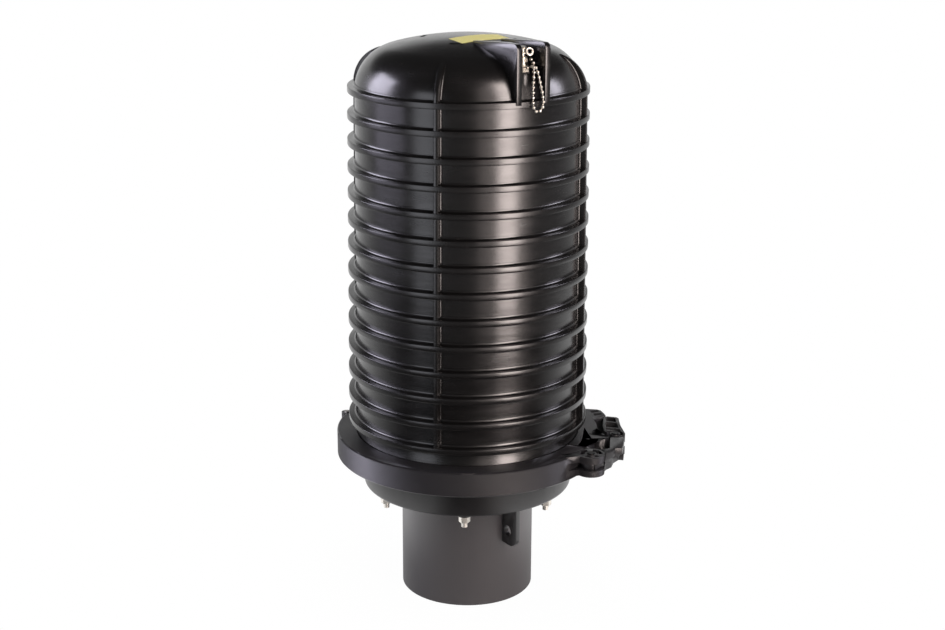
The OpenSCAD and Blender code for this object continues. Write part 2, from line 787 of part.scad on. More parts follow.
module tray_frame() {
    hole_z = flange_top;
    color("#a9abad") difference() {
        union() {
            translate([-frame_w / 2, frame_y, tray_z - 16])
                cube([frame_w, frame_t, frame_top - tray_z + 16]);
            for (side = [-1, 1]) {
                translate([side * (frame_w - frame_t) / 2 - frame_t / 2, frame_y, hole_z])
                    cube([frame_t, leg_w, frame_top - hole_z]);
                translate([side * (frame_w / 2 - 5) - 5, frame_y, hole_z])
                    cube([10, leg_w, frame_t]);
                translate([side * (frame_w - frame_t) / 2 - frame_t / 2,
                           frame_y - tray_count * tray_step - 3, tray_z - 16])
                    cube([frame_t, tray_count * tray_step + 4, 24]);
            }
        }
        for (i = [1:tray_count]) translate([-frame_w, tray_axis_y(i), tray_pin_z])
            rotate([0, 90, 0]) cylinder(h = 2 * frame_w, r = tray_pin_r + pin_gap);
        for (side = [-1, 1]) translate([side * frame_screw_x, frame_screw_y, hole_z - 1])
            cylinder(h = 10, r = 2);
        for (x = [-35, 0, 35]) for (z = [40, 100, 160])
            translate([x, frame_y + 5, tray_z + z]) rotate([90, 0, 0]) cylinder(h = 10, r = 8);
        for (side = [-1, 1]) translate([side * bar_screw_x, frame_y + 5, tray_z - 9])
            rotate([90, 0, 0]) cylinder(h = 10, r = 2);
    }
}

module frame_screws() {
    color("silver") for (side = [-1, 1]) translate([side * frame_screw_x, frame_screw_y, 0]) {
        translate([0, 0, flange_z + 1]) cylinder(h = flange_top + frame_t - flange_z - 1, r = 1.95);
        translate([0, 0, flange_top + frame_t]) cylinder(h = 2.4, r = 3.5);
    }
}

function tray_axis_y(i) = frame_y - 1 - (i - 0.5) * tray_step;

// a moulded tray: floor, rim, two fibre spools, comb seat and hinge ears at its lower end
module tray(i) {
    y0 = tray_axis_y(i) - tray_t / 2;
    floor_t = tray_wall;
    color("#e6e5df") translate([0, y0, 0]) difference() {
        union() {
            difference() {
                translate([-tray_w / 2, 0, tray_z]) cube([tray_w, tray_t, tray_l]);
                translate([-tray_w / 2 + tray_wall, -1, tray_z + tray_wall])
                    cube([tray_w - 2 * tray_wall, tray_t - floor_t + 1, tray_l - 2 * tray_wall]);
            }
            for (z = [45, tray_l - 45]) translate([0, tray_t, tray_z + z]) rotate([90, 0, 0])
                tube_of(tray_t - 1, 24, 24 - tray_wall);
            for (side = [-1, 1]) translate([side * (tray_w / 2 - 12) - 4, 0, tray_z - 9])
                cube([8, tray_t, 10]);
            for (side = [-1, 1]) for (z = [30, tray_l / 2, tray_l - 30])
                translate([side * (tray_w / 2 - 6) - 5.2, 0, tray_z + z]) cube([10, 1.4, 8]);
        }
        translate([-frame_w, tray_t / 2, tray_pin_z]) rotate([0, 90, 0])
            cylinder(h = 2 * frame_w, r = tray_pin_r + pin_gap);
    }
}

module tray_pins() {
    color("silver") for (i = [1:tray_count])
        translate([-frame_w / 2 - 1.2, tray_axis_y(i), tray_pin_z]) rotate([0, 90, 0])
            cylinder(h = frame_w + 2.4, r = tray_pin_r);
}

module tray_cover() {
    y = tray_axis_y(tray_count) - tray_t / 2 - seat_gap;
    color([0.8, 0.85, 0.85, 0.5]) difference() {
        translate([-tray_w / 2, y - 1.4, tray_z]) cube([tray_w, 1.4, tray_l]);
        for (side = [-1, 1]) translate([side * (tray_w / 2), y + 1, tray_z + tray_l])
            rotate([90, 0, 0]) cylinder(h = 4, r = 10);
    }
}

module tray_strap() {
    back = frame_y + frame_t + gap;
    front = tray_axis_y(tray_count) - tray_t / 2 - 1.4 - 2 * gap;
    side = frame_w / 2 + gap;
    t = 1.4;
    color("#151515") translate([0, 0, tray_z + tray_l / 2 + 12]) difference() {
        translate([-side - t, front - t, 0]) cube([2 * (side + t), frame_y + leg_w + gap + t - front + t, 20]);
        translate([-side, front, -1]) cube([2 * side, frame_y + leg_w + gap - front, 22]);
    }
}

// combs that hold the splice sleeves, one beside the spools of each tray
module splice_combs() {
    color("#c4d3e0") for (i = [1:tray_count]) {
        y = tray_axis_y(i) + tray_t / 2 - tray_wall;
        translate([-30, y - 5, tray_z + tray_l / 2 - 20]) difference() {
            cube([60, 5 - seat_gap, 40]);
            for (k = [0:8]) translate([3.2 + 6.2 * k, -1, -1]) cube([3.2, 4.6, 42]);
        }
    }
}

module cable_bar() {
    color("#a9abad") translate([0, 0, tray_z - 15]) difference() {
        translate([-frame_w / 2 + frame_t + gap, frame_y + frame_t + seat_gap, 0]) union() {
            cube([frame_w - 2 * frame_t - 2 * gap, 2, 12]);
            cube([frame_w - 2 * frame_t - 2 * gap, 14, 2]);
        }
        for (side = [-1, 1]) translate([side * bar_screw_x, frame_y + 10, 6]) rotate([90, 0, 0])
            cylinder(h = 12, r = 2);
        for (x = [-22, 0, 22]) translate([x, frame_y + 10, -1]) cylinder(h = 5, r = 2);
    }
}

module bar_screws() {
    color("silver") for (side = [-1, 1]) translate([side * bar_screw_x, 0, tray_z - 9]) {
        translate([0, frame_y + 4 + seat_gap, 0]) rotate([90, 0, 0]) cylinder(h = 8, r = 1.95);
        translate([0, frame_y + 4 + seat_gap + 2.4, 0]) rotate([90, 0, 0]) cylinder(h = 2.4, r = 3.5);
    }
}

// saddles that grip the cables' strength members
module cable_clamps() {
    color("#a9abad") for (x = [-22, 0, 22])
        translate([x - 6, frame_y + 4.5, tray_z - 15 - 3 - seat_gap]) difference() {
            cube([12, 11, 3]);
            translate([6, 5.5, -1]) cylinder(h = 5, r = 2);
            translate([-1, 1.6, 3]) rotate([0, 90, 0]) cylinder(h = 14, r = 1);
            translate([-1, 9.4, 3]) rotate([0, 90, 0]) cylinder(h = 14, r = 1);
        }
}

module clamp_screws() {
    color("silver") for (x = [-22, 0, 22]) translate([x, frame_y + 10, tray_z - 18 - seat_gap]) {
        cylinder(h = 7, r = 1.95);
        translate([0, 0, -2.4]) cylinder(h = 2.4, r = 3.5);
    }
}

dome();
base();
tube();
tube_gasket();
tube_bolts();
tube_washers();
tube_nuts();
main_seal();
clamp_rear();
clamp_front();
hinge_pin();
latch_link();
latch_lever();
link_pin();
lever_pin();
valve_body();
valve_core();
valve_gasket();
valve_washer();
valve_nut();
valve_cap();
cap_seal();
cap_ring();
valve_ring();
bead_chain();
sticker();
tray_frame();
frame_screws();
tray(1);  // tray_1
tray(2);  // tray_2
tray(3);  // tray_3
tray(4);  // tray_4
tray_cover();
tray_pins();
tray_strap();
splice_combs();
cable_bar();
bar_screws();
cable_clamps();
clamp_screws();
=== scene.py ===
"""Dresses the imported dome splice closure: moulded plastics, metal and a bare film on the fixed frame."""

import json
import math
from types import SimpleNamespace

import bmesh
import bpy
from bpy.props import FloatProperty, FloatVectorProperty, IntProperty, PointerProperty
from mathutils import Matrix, Vector

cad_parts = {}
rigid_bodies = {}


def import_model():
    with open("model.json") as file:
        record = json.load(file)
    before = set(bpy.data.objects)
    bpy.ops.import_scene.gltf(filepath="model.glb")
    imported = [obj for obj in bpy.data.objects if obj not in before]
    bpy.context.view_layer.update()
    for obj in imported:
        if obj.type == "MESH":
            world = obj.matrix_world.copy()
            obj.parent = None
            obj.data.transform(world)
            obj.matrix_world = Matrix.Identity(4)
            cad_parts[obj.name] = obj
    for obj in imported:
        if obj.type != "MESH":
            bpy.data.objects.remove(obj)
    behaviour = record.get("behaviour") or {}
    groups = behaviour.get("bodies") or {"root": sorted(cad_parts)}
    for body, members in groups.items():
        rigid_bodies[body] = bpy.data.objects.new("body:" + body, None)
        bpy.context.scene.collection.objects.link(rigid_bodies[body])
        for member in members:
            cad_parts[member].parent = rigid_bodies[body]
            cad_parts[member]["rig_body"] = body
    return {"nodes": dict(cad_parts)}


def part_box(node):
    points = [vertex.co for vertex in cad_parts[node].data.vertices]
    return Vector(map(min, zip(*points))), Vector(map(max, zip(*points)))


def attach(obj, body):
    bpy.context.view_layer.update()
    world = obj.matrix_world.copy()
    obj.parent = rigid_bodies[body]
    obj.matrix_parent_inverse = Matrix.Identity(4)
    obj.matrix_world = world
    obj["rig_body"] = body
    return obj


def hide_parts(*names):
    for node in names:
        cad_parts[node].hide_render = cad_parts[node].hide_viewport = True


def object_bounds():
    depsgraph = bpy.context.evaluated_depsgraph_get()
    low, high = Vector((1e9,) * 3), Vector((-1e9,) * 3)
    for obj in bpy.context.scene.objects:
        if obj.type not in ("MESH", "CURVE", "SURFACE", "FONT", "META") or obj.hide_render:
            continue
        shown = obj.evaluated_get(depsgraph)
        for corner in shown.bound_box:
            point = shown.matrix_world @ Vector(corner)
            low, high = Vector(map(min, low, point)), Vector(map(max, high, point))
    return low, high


bl_info = {
    "name": "Dome splice closure",
    "version": (1, 0, 0),
    "blender": (4, 5, 0),
    "location": "View3D > Sidebar > Closure",
    "description": "Ribbed dome, hinged clamp with lever latch, and a chained valve cap",
    "category": "Object",
}

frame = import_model()
CAD_LOW, CAD_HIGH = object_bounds()
MM = 0.001

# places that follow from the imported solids, in millimetres
DOME_LOW, DOME_HIGH = (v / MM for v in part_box("dome"))
CLAMP_LOW, CLAMP_HIGH = (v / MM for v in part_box("clamp_rear"))
PARTING_Z = (CLAMP_LOW.z + CLAMP_HIGH.z) / 2


# ---------------------------------------------------------------- sizes and colours


def linear(text):
    """A hex sRGB colour as linear RGBA."""
    out = []
    for i in (0, 2, 4):
        c = int(text[i : i + 2], 16) / 255
        out.append(c / 12.92 if c <= 0.04045 else ((c + 0.055) / 1.055) ** 2.4)
    return (*out, 1.0)


class ClosureSizes(bpy.types.PropertyGroup):
    """Sizes of the dressed pieces."""

    dome_r: FloatProperty(name="Dome radius", default=0.0903, unit="LENGTH",
                          description="Outside radius of the dome's wall at its top")
    dome_foot_r: FloatProperty(name="Dome foot radius", default=0.0918, unit="LENGTH",
                               description="Outside radius of the dome's wall at its flange")
    dome_wall: FloatProperty(name="Dome wall", default=0.0036, unit="LENGTH",
                             description="Thickness of the dome's wall")
    shoulder_r: FloatProperty(name="Shoulder radius", default=0.036, unit="LENGTH",
                              description="Radius of the rounded shoulder")
    shoulder_up: FloatProperty(name="Shoulder height", default=0.2935, unit="LENGTH",
                               description="Height of the shoulder's centre above the parting face")
    crown_r: FloatProperty(name="Crown radius", default=0.24, unit="LENGTH",
                           description="Radius of the domed top")
    rib_count: IntProperty(name="Ring ribs", default=14, min=2, max=40,
                           description="Number of ring ribs")
    rib_pitch: FloatProperty(name="Rib pitch", default=0.02092, unit="LENGTH",
                             description="Distance between ring ribs")
    rib_h: FloatProperty(name="Rib height", default=0.0048, unit="LENGTH",
                         description="Height of a ring rib's outer face")
    rib_r_top: FloatProperty(name="Top rib radius", default=0.0961, unit="LENGTH",
                             description="Outside radius of the top ring rib")
    rib_r_foot: FloatProperty(name="Bottom rib radius", default=0.0987, unit="LENGTH",
                              description="Outside radius of the bottom ring rib")
    upright_w: FloatProperty(name="Upright width", default=0.0038, unit="LENGTH",
                             description="Width of an upright rib")
    upright_az: FloatProperty(name="Upright azimuth", default=math.radians(-14.6), subtype="ANGLE",
                              description="Azimuth of the first upright rib")
    upright_round: FloatProperty(name="Upright rounding", default=0.0305, unit="LENGTH",
                                 description="Radius of the upright ribs over the shoulder")
    pocket_az: FloatProperty(name="Pocket azimuth", default=math.radians(30.4), subtype="ANGLE",
                             description="Azimuth of the valve's pocket")
    pocket_w: FloatProperty(name="Pocket width", default=0.0207, unit="LENGTH",
                            description="Clear width between the pocket's walls")
    pocket_wall: FloatProperty(name="Pocket wall", default=0.0042, unit="LENGTH",
                               description="Thickness of a pocket wall")
    pocket_h: FloatProperty(name="Pocket height", default=0.0468, unit="LENGTH",
                            description="Height of the pocket's walls above the shoulder's centre")
    web_in_r: FloatProperty(name="Pocket wall's inner end", default=0.0318, unit="LENGTH",
                            description="Radius at which the pocket's walls end on the crown")
    valve_r: FloatProperty(name="Valve radius", default=0.08, unit="LENGTH",
                           description="Radius at which the valve stands")
    bead_d: FloatProperty(name="Bead diameter", default=0.0025, unit="LENGTH",
                          description="Diameter of a chain bead")
    bead_pitch: FloatProperty(name="Bead pitch", default=0.00365, unit="LENGTH",
                              description="Distance between chain beads")
    link_r: FloatProperty(name="Link radius", default=0.0003, unit="LENGTH",
                          description="Radius of the wire between the beads")
    clasp_r: FloatProperty(name="Clasp radius", default=0.0025, unit="LENGTH",
                           description="Middle radius of the chain's clasp ring")
    clasp_wire: FloatProperty(name="Clasp wire", default=0.00095, unit="LENGTH",
                              description="Radius of the clasp ring's wire")
    edge: FloatProperty(name="Edge rounding", default=0.00045, unit="LENGTH",
                        description="Rounding of the clamp's and the pocket walls' edges")
    latch_edge: FloatProperty(name="Latch edge rounding", default=0.00036, unit="LENGTH",
                              description="Rounding of the link's and lever's edges")
    base_edge: FloatProperty(name="Base edge rounding", default=0.0008, unit="LENGTH",
                             description="Rounding of the base's edges")
    tube_edge: FloatProperty(name="Tube edge rounding", default=0.0004, unit="LENGTH",
                             description="Rounding of the cable tube's edges")


class ClosureColours(bpy.types.PropertyGroup):
    """Surface colours of the pieces."""

    dome: FloatVectorProperty(name="Dome", default=linear("0b0a0a"), size=4, subtype="COLOR",
                              min=0, max=1, description="Moulded black polypropylene")
    clamp: FloatVectorProperty(name="Clamp", default=linear("1b1a1c"), size=4, subtype="COLOR",
                               min=0, max=1, description="Glass-filled nylon")
    base: FloatVectorProperty(name="Base", default=linear("131213"), size=4, subtype="COLOR",
                              min=0, max=1, description="Satin black polypropylene")
    tube: FloatVectorProperty(name="Tube", default=linear("3b393a"), size=4, subtype="COLOR",
                              min=0, max=1, description="Extruded pipe")
    nickel: FloatVectorProperty(name="Nickel", default=linear("ece5d8"), size=4, subtype="COLOR",
                                min=0, max=1, description="Nickel plate on brass")
    steel: FloatVectorProperty(name="Steel", default=linear("f4f0e8"), size=4, subtype="COLOR",
                               min=0, max=1, description="Stainless fasteners")
    film: FloatVectorProperty(name="Film", default=linear("dcd68a"), size=4, subtype="COLOR",
                              min=0, max=1, description="Yellow film")
    rubber: FloatVectorProperty(name="Rubber", default=linear("242222"), size=4, subtype="COLOR",
                                min=0, max=1, description="Sealing rubber")


def own_keys(group):
    """The names of a group's own settings."""
    return [key for key in group.bl_rna.properties.keys() if key not in ("rna_type", "name")]


def sizes():
    """The sizes as the pieces use them: lengths in millimetres, azimuths in degrees, counts as they are."""
    group = bpy.context.scene.closure_sizes
    out = {}
    for key in own_keys(group):
        unit = group.bl_rna.properties[key].unit
        value = getattr(group, key)
        if unit == "LENGTH":
            value = value / MM
        elif unit == "ROTATION":
            value = math.degrees(value)
        out[key] = value
    return SimpleNamespace(**out)


# ---------------------------------------------------------------- materials

# real sizes of the patterns, in millimetres
PATCH_MM = 45.5  # soft patches of gloss and tone on plastic
SINK_MM = 29.4  # shallow sinks where a wall is thicker
DUST_MM = 7.14  # a cell that holds one speck of dust at most
METAL_PATCH_MM = 3.846  # duller patches on metal
GRAIN_DEPTH = 0.3 * MM
SINK_DEPTH = 1.0 * MM
SCRATCH_DEPTH = 0.1 * MM
# where a noise begins and ends to count, and how far it moves the roughness down and up
PATCH_FROM, PATCH_TO = 0.3, 0.7
PLASTIC_GLOSS = (0.035, 0.045)
METAL_GLOSS = (0.05, 0.1)
METAL_SOIL = {"From Min": 0.5, "From Max": 0.8, "To Min": 0.0, "To Max": 0.35}
# a speck of dust from its core to its rim, as parts of its cell, and the share of cells without one
DUST_CORE, DUST_RIM, DUST_RARE = 0.03, 0.06, 0.93
DUST_GREY = "8d8680"
SOIL_BROWN = "8a7f6c"


def add_node(tree, kind, links=None, **settings):
    """Adds a node; settings are its attributes, and links fill its inputs by name or number."""
    n = tree.nodes.new(kind)
    for key, value in settings.items():
        setattr(n, key, value)
    for key, value in (links or {}).items():
        socket = n.inputs[key]
        if isinstance(value, bpy.types.NodeSocket):
            tree.links.new(value, socket)
        else:
            socket.default_value = value
    return n


def start_material(name):
    m = bpy.data.materials.new(name)
    m.use_nodes = True
    m.node_tree.nodes.clear()
    return m, m.node_tree


def end_material(m, shader):
    add_node(m.node_tree, "ShaderNodeOutputMaterial", {"Surface": shader.outputs[0]})
    return m


def dusted(t, where, plain, amount):
    """Scatters a few grey specks over a colour."""
    speck = add_node(t, "ShaderNodeTexVoronoi", {
        "Vector": where, "Scale": 1 / (DUST_MM * MM), "Randomness": 1.0})
    near = add_node(t, "ShaderNodeMapRange", {
        "Value": speck.outputs["Distance"], "From Min": DUST_CORE, "From Max": DUST_RIM,
        "To Min": 1.0, "To Max": 0.0})
    cell = add_node(t, "ShaderNodeSeparateColor", {"Color": speck.outputs["Color"]})
    rare = add_node(t, "ShaderNodeMath", {0: cell.outputs[0], 1: DUST_RARE}, operation="GREATER_THAN")
    both = add_node(t, "ShaderNodeMath", {0: near.outputs[0], 1: rare.outputs[0]}, operation="MULTIPLY")
    part = add_node(t, "ShaderNodeMath", {0: both.outputs[0], 1: amount}, operation="MULTIPLY")
    mixed = add_node(t, "ShaderNodeMix", {
        0: part.outputs[0], 6: plain, 7: linear(DUST_GREY)}, data_type="RGBA")
    return mixed.outputs[2]


def moulded(name, base, rough, grain_mm, grain_up, sink_up=0.0, spec=0.5, streak=None, dust=0.0):
    """An injection-moulded or extruded plastic: grain, soft unevenness and uneven gloss."""
    m, t = start_material(name)
    where = add_node(t, "ShaderNodeTexCoord").outputs["Object"]
    if streak:
        where = add_node(t, "ShaderNodeMapping", {"Vector": where, "Scale": streak}).outputs[0]
    grain = add_node(t, "ShaderNodeTexNoise", {"Vector": where, "Scale": 1 / (grain_mm * MM), "Detail": 3.0})
    patch = add_node(t, "ShaderNodeTexNoise", {"Vector": where, "Scale": 1 / (PATCH_MM * MM), "Detail": 2.0})
    gloss = add_node(t, "ShaderNodeMapRange", {
        "Value": patch.outputs["Fac"], "From Min": PATCH_FROM, "From Max": PATCH_TO,
        "To Min": rough - PLASTIC_GLOSS[0], "To Max": rough + PLASTIC_GLOSS[1]})
    paler = (*(min(1, c * 1.2 + 0.0008) for c in base[:3]), 1)
    tone = add_node(t, "ShaderNodeMix", {0: patch.outputs["Fac"], 6: base, 7: paler}, data_type="RGBA")
    bump = add_node(t, "ShaderNodeBump", {
        "Height": grain.outputs["Fac"], "Strength": grain_up, "Distance": GRAIN_DEPTH})
    if sink_up:
        sink = add_node(t, "ShaderNodeTexNoise", {
            "Vector": where, "Scale": 1 / (SINK_MM * MM), "Detail": 1.0})
        bump = add_node(t, "ShaderNodeBump", {
            "Height": sink.outputs["Fac"], "Strength": sink_up, "Distance": SINK_DEPTH,
            "Normal": bump.outputs[0]})
    shown = tone.outputs[2]
    if dust:
        shown = dusted(t, where, shown, dust)
    shader = add_node(t, "ShaderNodeBsdfPrincipled", {
        "Base Color": shown, "Roughness": gloss.outputs[0], "Specular IOR Level": spec,
        "Normal": bump.outputs[0]})
    return end_material(m, shader)


def metal(name, base, rough, scratch_mm=0.5, scratch_up=0.12):
    """A plated or plain metal with fine scratches and slightly duller, soiled patches."""
    m, t = start_material(name)
    where = add_node(t, "ShaderNodeTexCoord").outputs["Object"]
    scratch = add_node(t, "ShaderNodeTexNoise", {
        "Vector": where, "Scale": 1 / (scratch_mm * MM), "Detail": 4.0})
    patch = add_node(t, "ShaderNodeTexNoise", {
        "Vector": where, "Scale": 1 / (METAL_PATCH_MM * MM), "Detail": 2.0})
    gloss = add_node(t, "ShaderNodeMapRange", {
        "Value": patch.outputs["Fac"], "From Min": PATCH_FROM, "From Max": PATCH_TO,
        "To Min": rough - METAL_GLOSS[0], "To Max": rough + METAL_GLOSS[1]})
    soil = add_node(t, "ShaderNodeMapRange", {"Value": patch.outputs["Fac"], **METAL_SOIL})
    tone = add_node(t, "ShaderNodeMix", {
        0: soil.outputs[0], 6: base, 7: linear(SOIL_BROWN)}, data_type="RGBA")
    bump = add_node(t, "ShaderNodeBump", {
        "Height": scratch.outputs["Fac"], "Strength": scratch_up, "Distance": SCRATCH_DEPTH})
    shader = add_node(t, "ShaderNodeBsdfPrincipled", {
        "Base Color": tone.outputs[2], "Metallic": 1.0, "Roughness": gloss.outputs[0],
        "Normal": bump.outputs[0]})
    return end_material(m, shader)


MATERIALS = {}


def make_materials():
    c = bpy.context.scene.closure_colours
    MATERIALS.update(
        # polypropylene from a polished mould: deep black, semi-gloss, with soft upright reflections and dust
        dome=moulded("moulded black polypropylene", c.dome, rough=0.23, grain_mm=0.9, grain_up=0.06,
                     sink_up=0.07, spec=0.85, streak=(1.0, 1.0, 5.0), dust=0.5),
        # the base comes from a duller mould, so that its reflections are wide and soft
        base=moulded("satin black polypropylene", c.base, rough=0.34, grain_mm=0.8, grain_up=0.12,
                     sink_up=0.15, spec=0.8),
        # glass fibres come up to the nylon's skin: matt charcoal with a fine grain
        clamp=moulded("glass-filled nylon", c.clamp, rough=0.38, grain_mm=0.6, grain_up=0.30,
                      sink_up=0.10, spec=0.75),
        # pipe drawn through a die: satin dark grey, with faint lines along its length
        tube=moulded("extruded pipe plastic", c.tube, rough=0.42, grain_mm=0.7, grain_up=0.12,
                     sink_up=0.05, spec=0.65, streak=(1.0, 1.0, 0.04)),
        # moulded rubber: dull and almost black
        rubber=moulded("sealing rubber", c.rubber, rough=0.72, grain_mm=0.5, grain_up=0.3),
        # thin film: pale yellow, satin, a little uneven where it follows the dome
        film=moulded("yellow film", c.film, rough=0.5, grain_mm=0.8, grain_up=0.1, sink_up=0.4, spec=0.4),
        # the trays: off-white and satin
        tray=moulded("white ABS", linear("dedcd4"), rough=0.45, grain_mm=0.8, grain_up=0.1),
        # soft combs that hold the splice sleeves: pale blue and satin
        comb=moulded("pale blue thermoplastic", linear("b9cad8"), rough=0.5, grain_mm=0.8, grain_up=0.1),
        # woven band: black, with no gloss
        strap=moulded("woven strap", linear("1a1a1b"), rough=0.85, grain_mm=0.9, grain_up=0.8),
        # the trays' cover: glossy and pale
        clear=moulded("clear polycarbonate", linear("c9d2d2"), rough=0.12, grain_mm=2.0, grain_up=0.02),
        # nickel plate on turned brass: bright, slightly warm
        nickel=metal("nickel-plated brass", c.nickel, rough=0.24),
        # stainless bolts and nuts: pale and slightly scuffed
        steel=metal("stainless steel", c.steel, rough=0.46),
        # oiled black pins: dark with a dull shine
        pin=metal("blackened steel", linear("2e2e30"), rough=0.42),
        # turned brass without plate: yellow and fairly bright
        brass=metal("plain brass", linear("c9a75a"), rough=0.3),
        # rolled sheet, folded: grey with plain rolling marks
        sheet=metal("folded aluminium sheet", linear("b9bbbd"), rough=0.35, scratch_up=0.2),
    )


def material(key):
    """A finish by its key. All are made when the first one is asked for."""
    if not MATERIALS:
        make_materials()
    return MATERIALS[key]


# ---------------------------------------------------------------- mesh helpers

SEGMENTS = 256
RIB_SEGMENTS = 180  # fewer, because the ring ribs are many
ON_AXIS = 1e-6  # a smaller radius counts as a point on the axis
MERGE_WITHIN = 0.002 * MM
FLAT_WITHIN = 0.6  # faces that differ by fewer degrees become one


def polar(r, az, z):
    """A point in metres from a radius, an azimuth and a height in millimetres."""
    a = math.radians(az)
    return Vector((r * math.sin(a), -r * math.cos(a), z)) * MM


def arc(cx, cz, r, a, b, n):
    """Points from angle a to angle b on a circle."""
    turns = [math.radians(a + (b - a) * i / n) for i in range(n + 1)]
    return [(cx + r * math.cos(t), cz + r * math.sin(t)) for t in turns]


def new_piece(name, bm):
    mesh = bpy.data.meshes.new(name)
    bm.to_mesh(mesh)
    bm.free()
    obj = bpy.data.objects.new(name, mesh)
    bpy.context.scene.collection.objects.link(obj)
    return obj


def lathe(name, profile, segments=SEGMENTS, closed=True, centre=(0, 0)):
    """Turns a profile of (radius, height) about an upright axis; points on the axis become poles."""
    bm = bmesh.new()
    rings = []
    for r, z in profile:
        ring = []
        for i in range(1 if r < ON_AXIS else segments):
            a = 2 * math.pi * i / segments
            x, y = centre[0] + r * math.cos(a), centre[1] + r * math.sin(a)
            ring.append(bm.verts.new(Vector((x, y, z)) * MM))
        rings.append(ring)
    pairs = list(zip(rings, rings[1:]))
    if closed:
        pairs.append((rings[-1], rings[0]))
    for a, b in pairs:
        if len(a) == 1 and len(b) == 1:
            continue
        for i in range(segments):
            j = (i + 1) % segments
            if len(a) == 1:
                bm.faces.new((a[0], b[j], b[i]))
            elif len(b) == 1:
                bm.faces.new((a[i], a[j], b[0]))
            else:
                bm.faces.new((a[i], a[j], b[j], b[i]))
    bmesh.ops.recalc_face_normals(bm, faces=bm.faces)
    return new_piece(name, bm)


def plate(name, outline, thick, place):
    """An outline extruded by thick along its own normal, centred, and set at a place."""
    bm = bmesh.new()
    low = [bm.verts.new(place @ Vector((x * MM, -thick / 2 * MM, z * MM))) for x, z in outline]
    high = [bm.verts.new(place @ Vector((x * MM, thick / 2 * MM, z * MM))) for x, z in outline]
    bm.faces.new(low)
    bm.faces.new(reversed(high))
    for i in range(len(low)):
        j = (i + 1) % len(low)
        bm.faces.new((low[j], low[i], high[i], high[j]))
    bmesh.ops.recalc_face_normals(bm, faces=bm.faces)
    return new_piece(name, bm)


def rib_section(width, height, fillet):
    """A rib's section across: sunk into the wall, filleted at its root and with softened outer edges."""
    sunk, proud = -1.2, 0.02
    f = min(fillet, height * 0.6)
    e = min(0.7, height * 0.3)
    w = width / 2
    root = [(w + f - f * math.sin(math.radians(a)), f - f * math.cos(math.radians(a)) + proud)
            for a in (25, 50, 75, 90)]
    half = [(w + f, sunk), (w + f, proud)] + root
    half += [(w, height - e), (w - e * 0.3, height - e * 0.3), (w - e, height)]
    return half + [(-x, y) for x, y in reversed(half)]


def lofted_rib(name, stations, width, fillet):
    """A rib in the plane of azimuth 0, through pairs of wall and outer points."""
    bm = bmesh.new()
    rows = []
    for wall, outer in stations:
        up = (outer - wall).normalized()
        section = rib_section(width, (outer - wall).length, fillet)
        rows.append([bm.verts.new(Vector((x, -(wall.x + up.x * y), wall.y + up.y * y)) * MM)
                     for x, y in section])
    for a, b in zip(rows, rows[1:]):
        for i in range(len(a)):
            j = (i + 1) % len(a)
            bm.faces.new((a[i], a[j], b[j], b[i]))
    bm.faces.new(rows[0])
    bm.faces.new(reversed(rows[-1]))
    bmesh.ops.recalc_face_normals(bm, faces=bm.faces)
    return new_piece(name, bm)


def radial_place(az, offset=0.0):
    """Local X runs outwards at the azimuth and local Z up; offset moves it sideways."""
    a = math.radians(az)
    out = Vector((math.sin(a), -math.cos(a), 0))
    side = Vector((math.cos(a), math.sin(a), 0))
    m = Matrix((out, side, Vector((0, 0, 1)))).transposed().to_4x4()
    m.translation = side * offset * MM
    return m


def apply_modifiers(obj):
    """Gives the object its evaluated mesh, or puts a plain object with it in a curve's place."""
    graph = bpy.context.evaluated_depsgraph_get()
    mesh = bpy.data.meshes.new_from_object(obj.evaluated_get(graph))
    if not mesh.polygons:
        raise RuntimeError(obj.name + " has no faces after its modifiers")
    if obj.type != "MESH":
        plain = bpy.data.objects.new(obj.name, mesh)
        bpy.context.scene.collection.objects.link(plain)
        bpy.data.objects.remove(obj)
        return plain
    old = obj.data
    obj.modifiers.clear()
    obj.data = mesh
    bpy.data.meshes.remove(old)
    return obj


def cut(obj, tool, operation="DIFFERENCE"):
    m = obj.modifiers.new("cut", "BOOLEAN")
    m.operation = operation
    m.solver = "EXACT"
    m.object = tool
    apply_modifiers(obj)
    bpy.data.objects.remove(tool)
    return obj


def rounded(obj, width, segments=2, angle=40):
    m = obj.modifiers.new("edge", "BEVEL")
    m.width = width * MM
    m.segments = segments
    m.limit_method = "ANGLE"
    m.angle_limit = math.radians(angle)
    m.harden_normals = False
    m.use_clamp_overlap = True
    return apply_modifiers(obj)


def joined(name, parts):
    """One mesh from several objects, which are removed."""
    bm = bmesh.new()
    for p in parts:
        bm.from_mesh(p.data)
    obj = new_piece(name, bm)
    for p in parts:
        bpy.data.objects.remove(p)
    return obj


def finish_piece(obj, body, finish, nodes, angle=32):
    """Paints and smooths a piece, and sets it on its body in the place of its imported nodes."""
    obj.data.materials.clear()
    obj.data.materials.append(material(finish))
    for p in obj.data.polygons:
        p.use_smooth = True
    obj.data.set_sharp_from_angle(angle=math.radians(angle))
    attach(obj, body)
    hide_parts(*nodes)


def softened(node, name, width, finish, segments=2):
    """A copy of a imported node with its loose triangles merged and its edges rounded."""
    src = frame["nodes"][node]
    bm = bmesh.new()
    bm.from_mesh(src.data)
    bmesh.ops.remove_doubles(bm, verts=bm.verts, dist=MERGE_WITHIN)
    bmesh.ops.dissolve_limit(bm, angle_limit=math.radians(FLAT_WITHIN), verts=bm.verts, edges=bm.edges)
    obj = rounded(new_piece(name, bm), width, segments)
    finish_piece(obj, src["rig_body"], finish, (node,))


def dress(finish, *nodes):
    """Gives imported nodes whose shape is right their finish."""
    for n in nodes:
        obj = frame["nodes"][n]
        obj.data.materials.clear()
        obj.data.materials.append(material(finish))


# ---------------------------------------------------------------- geometry nodes


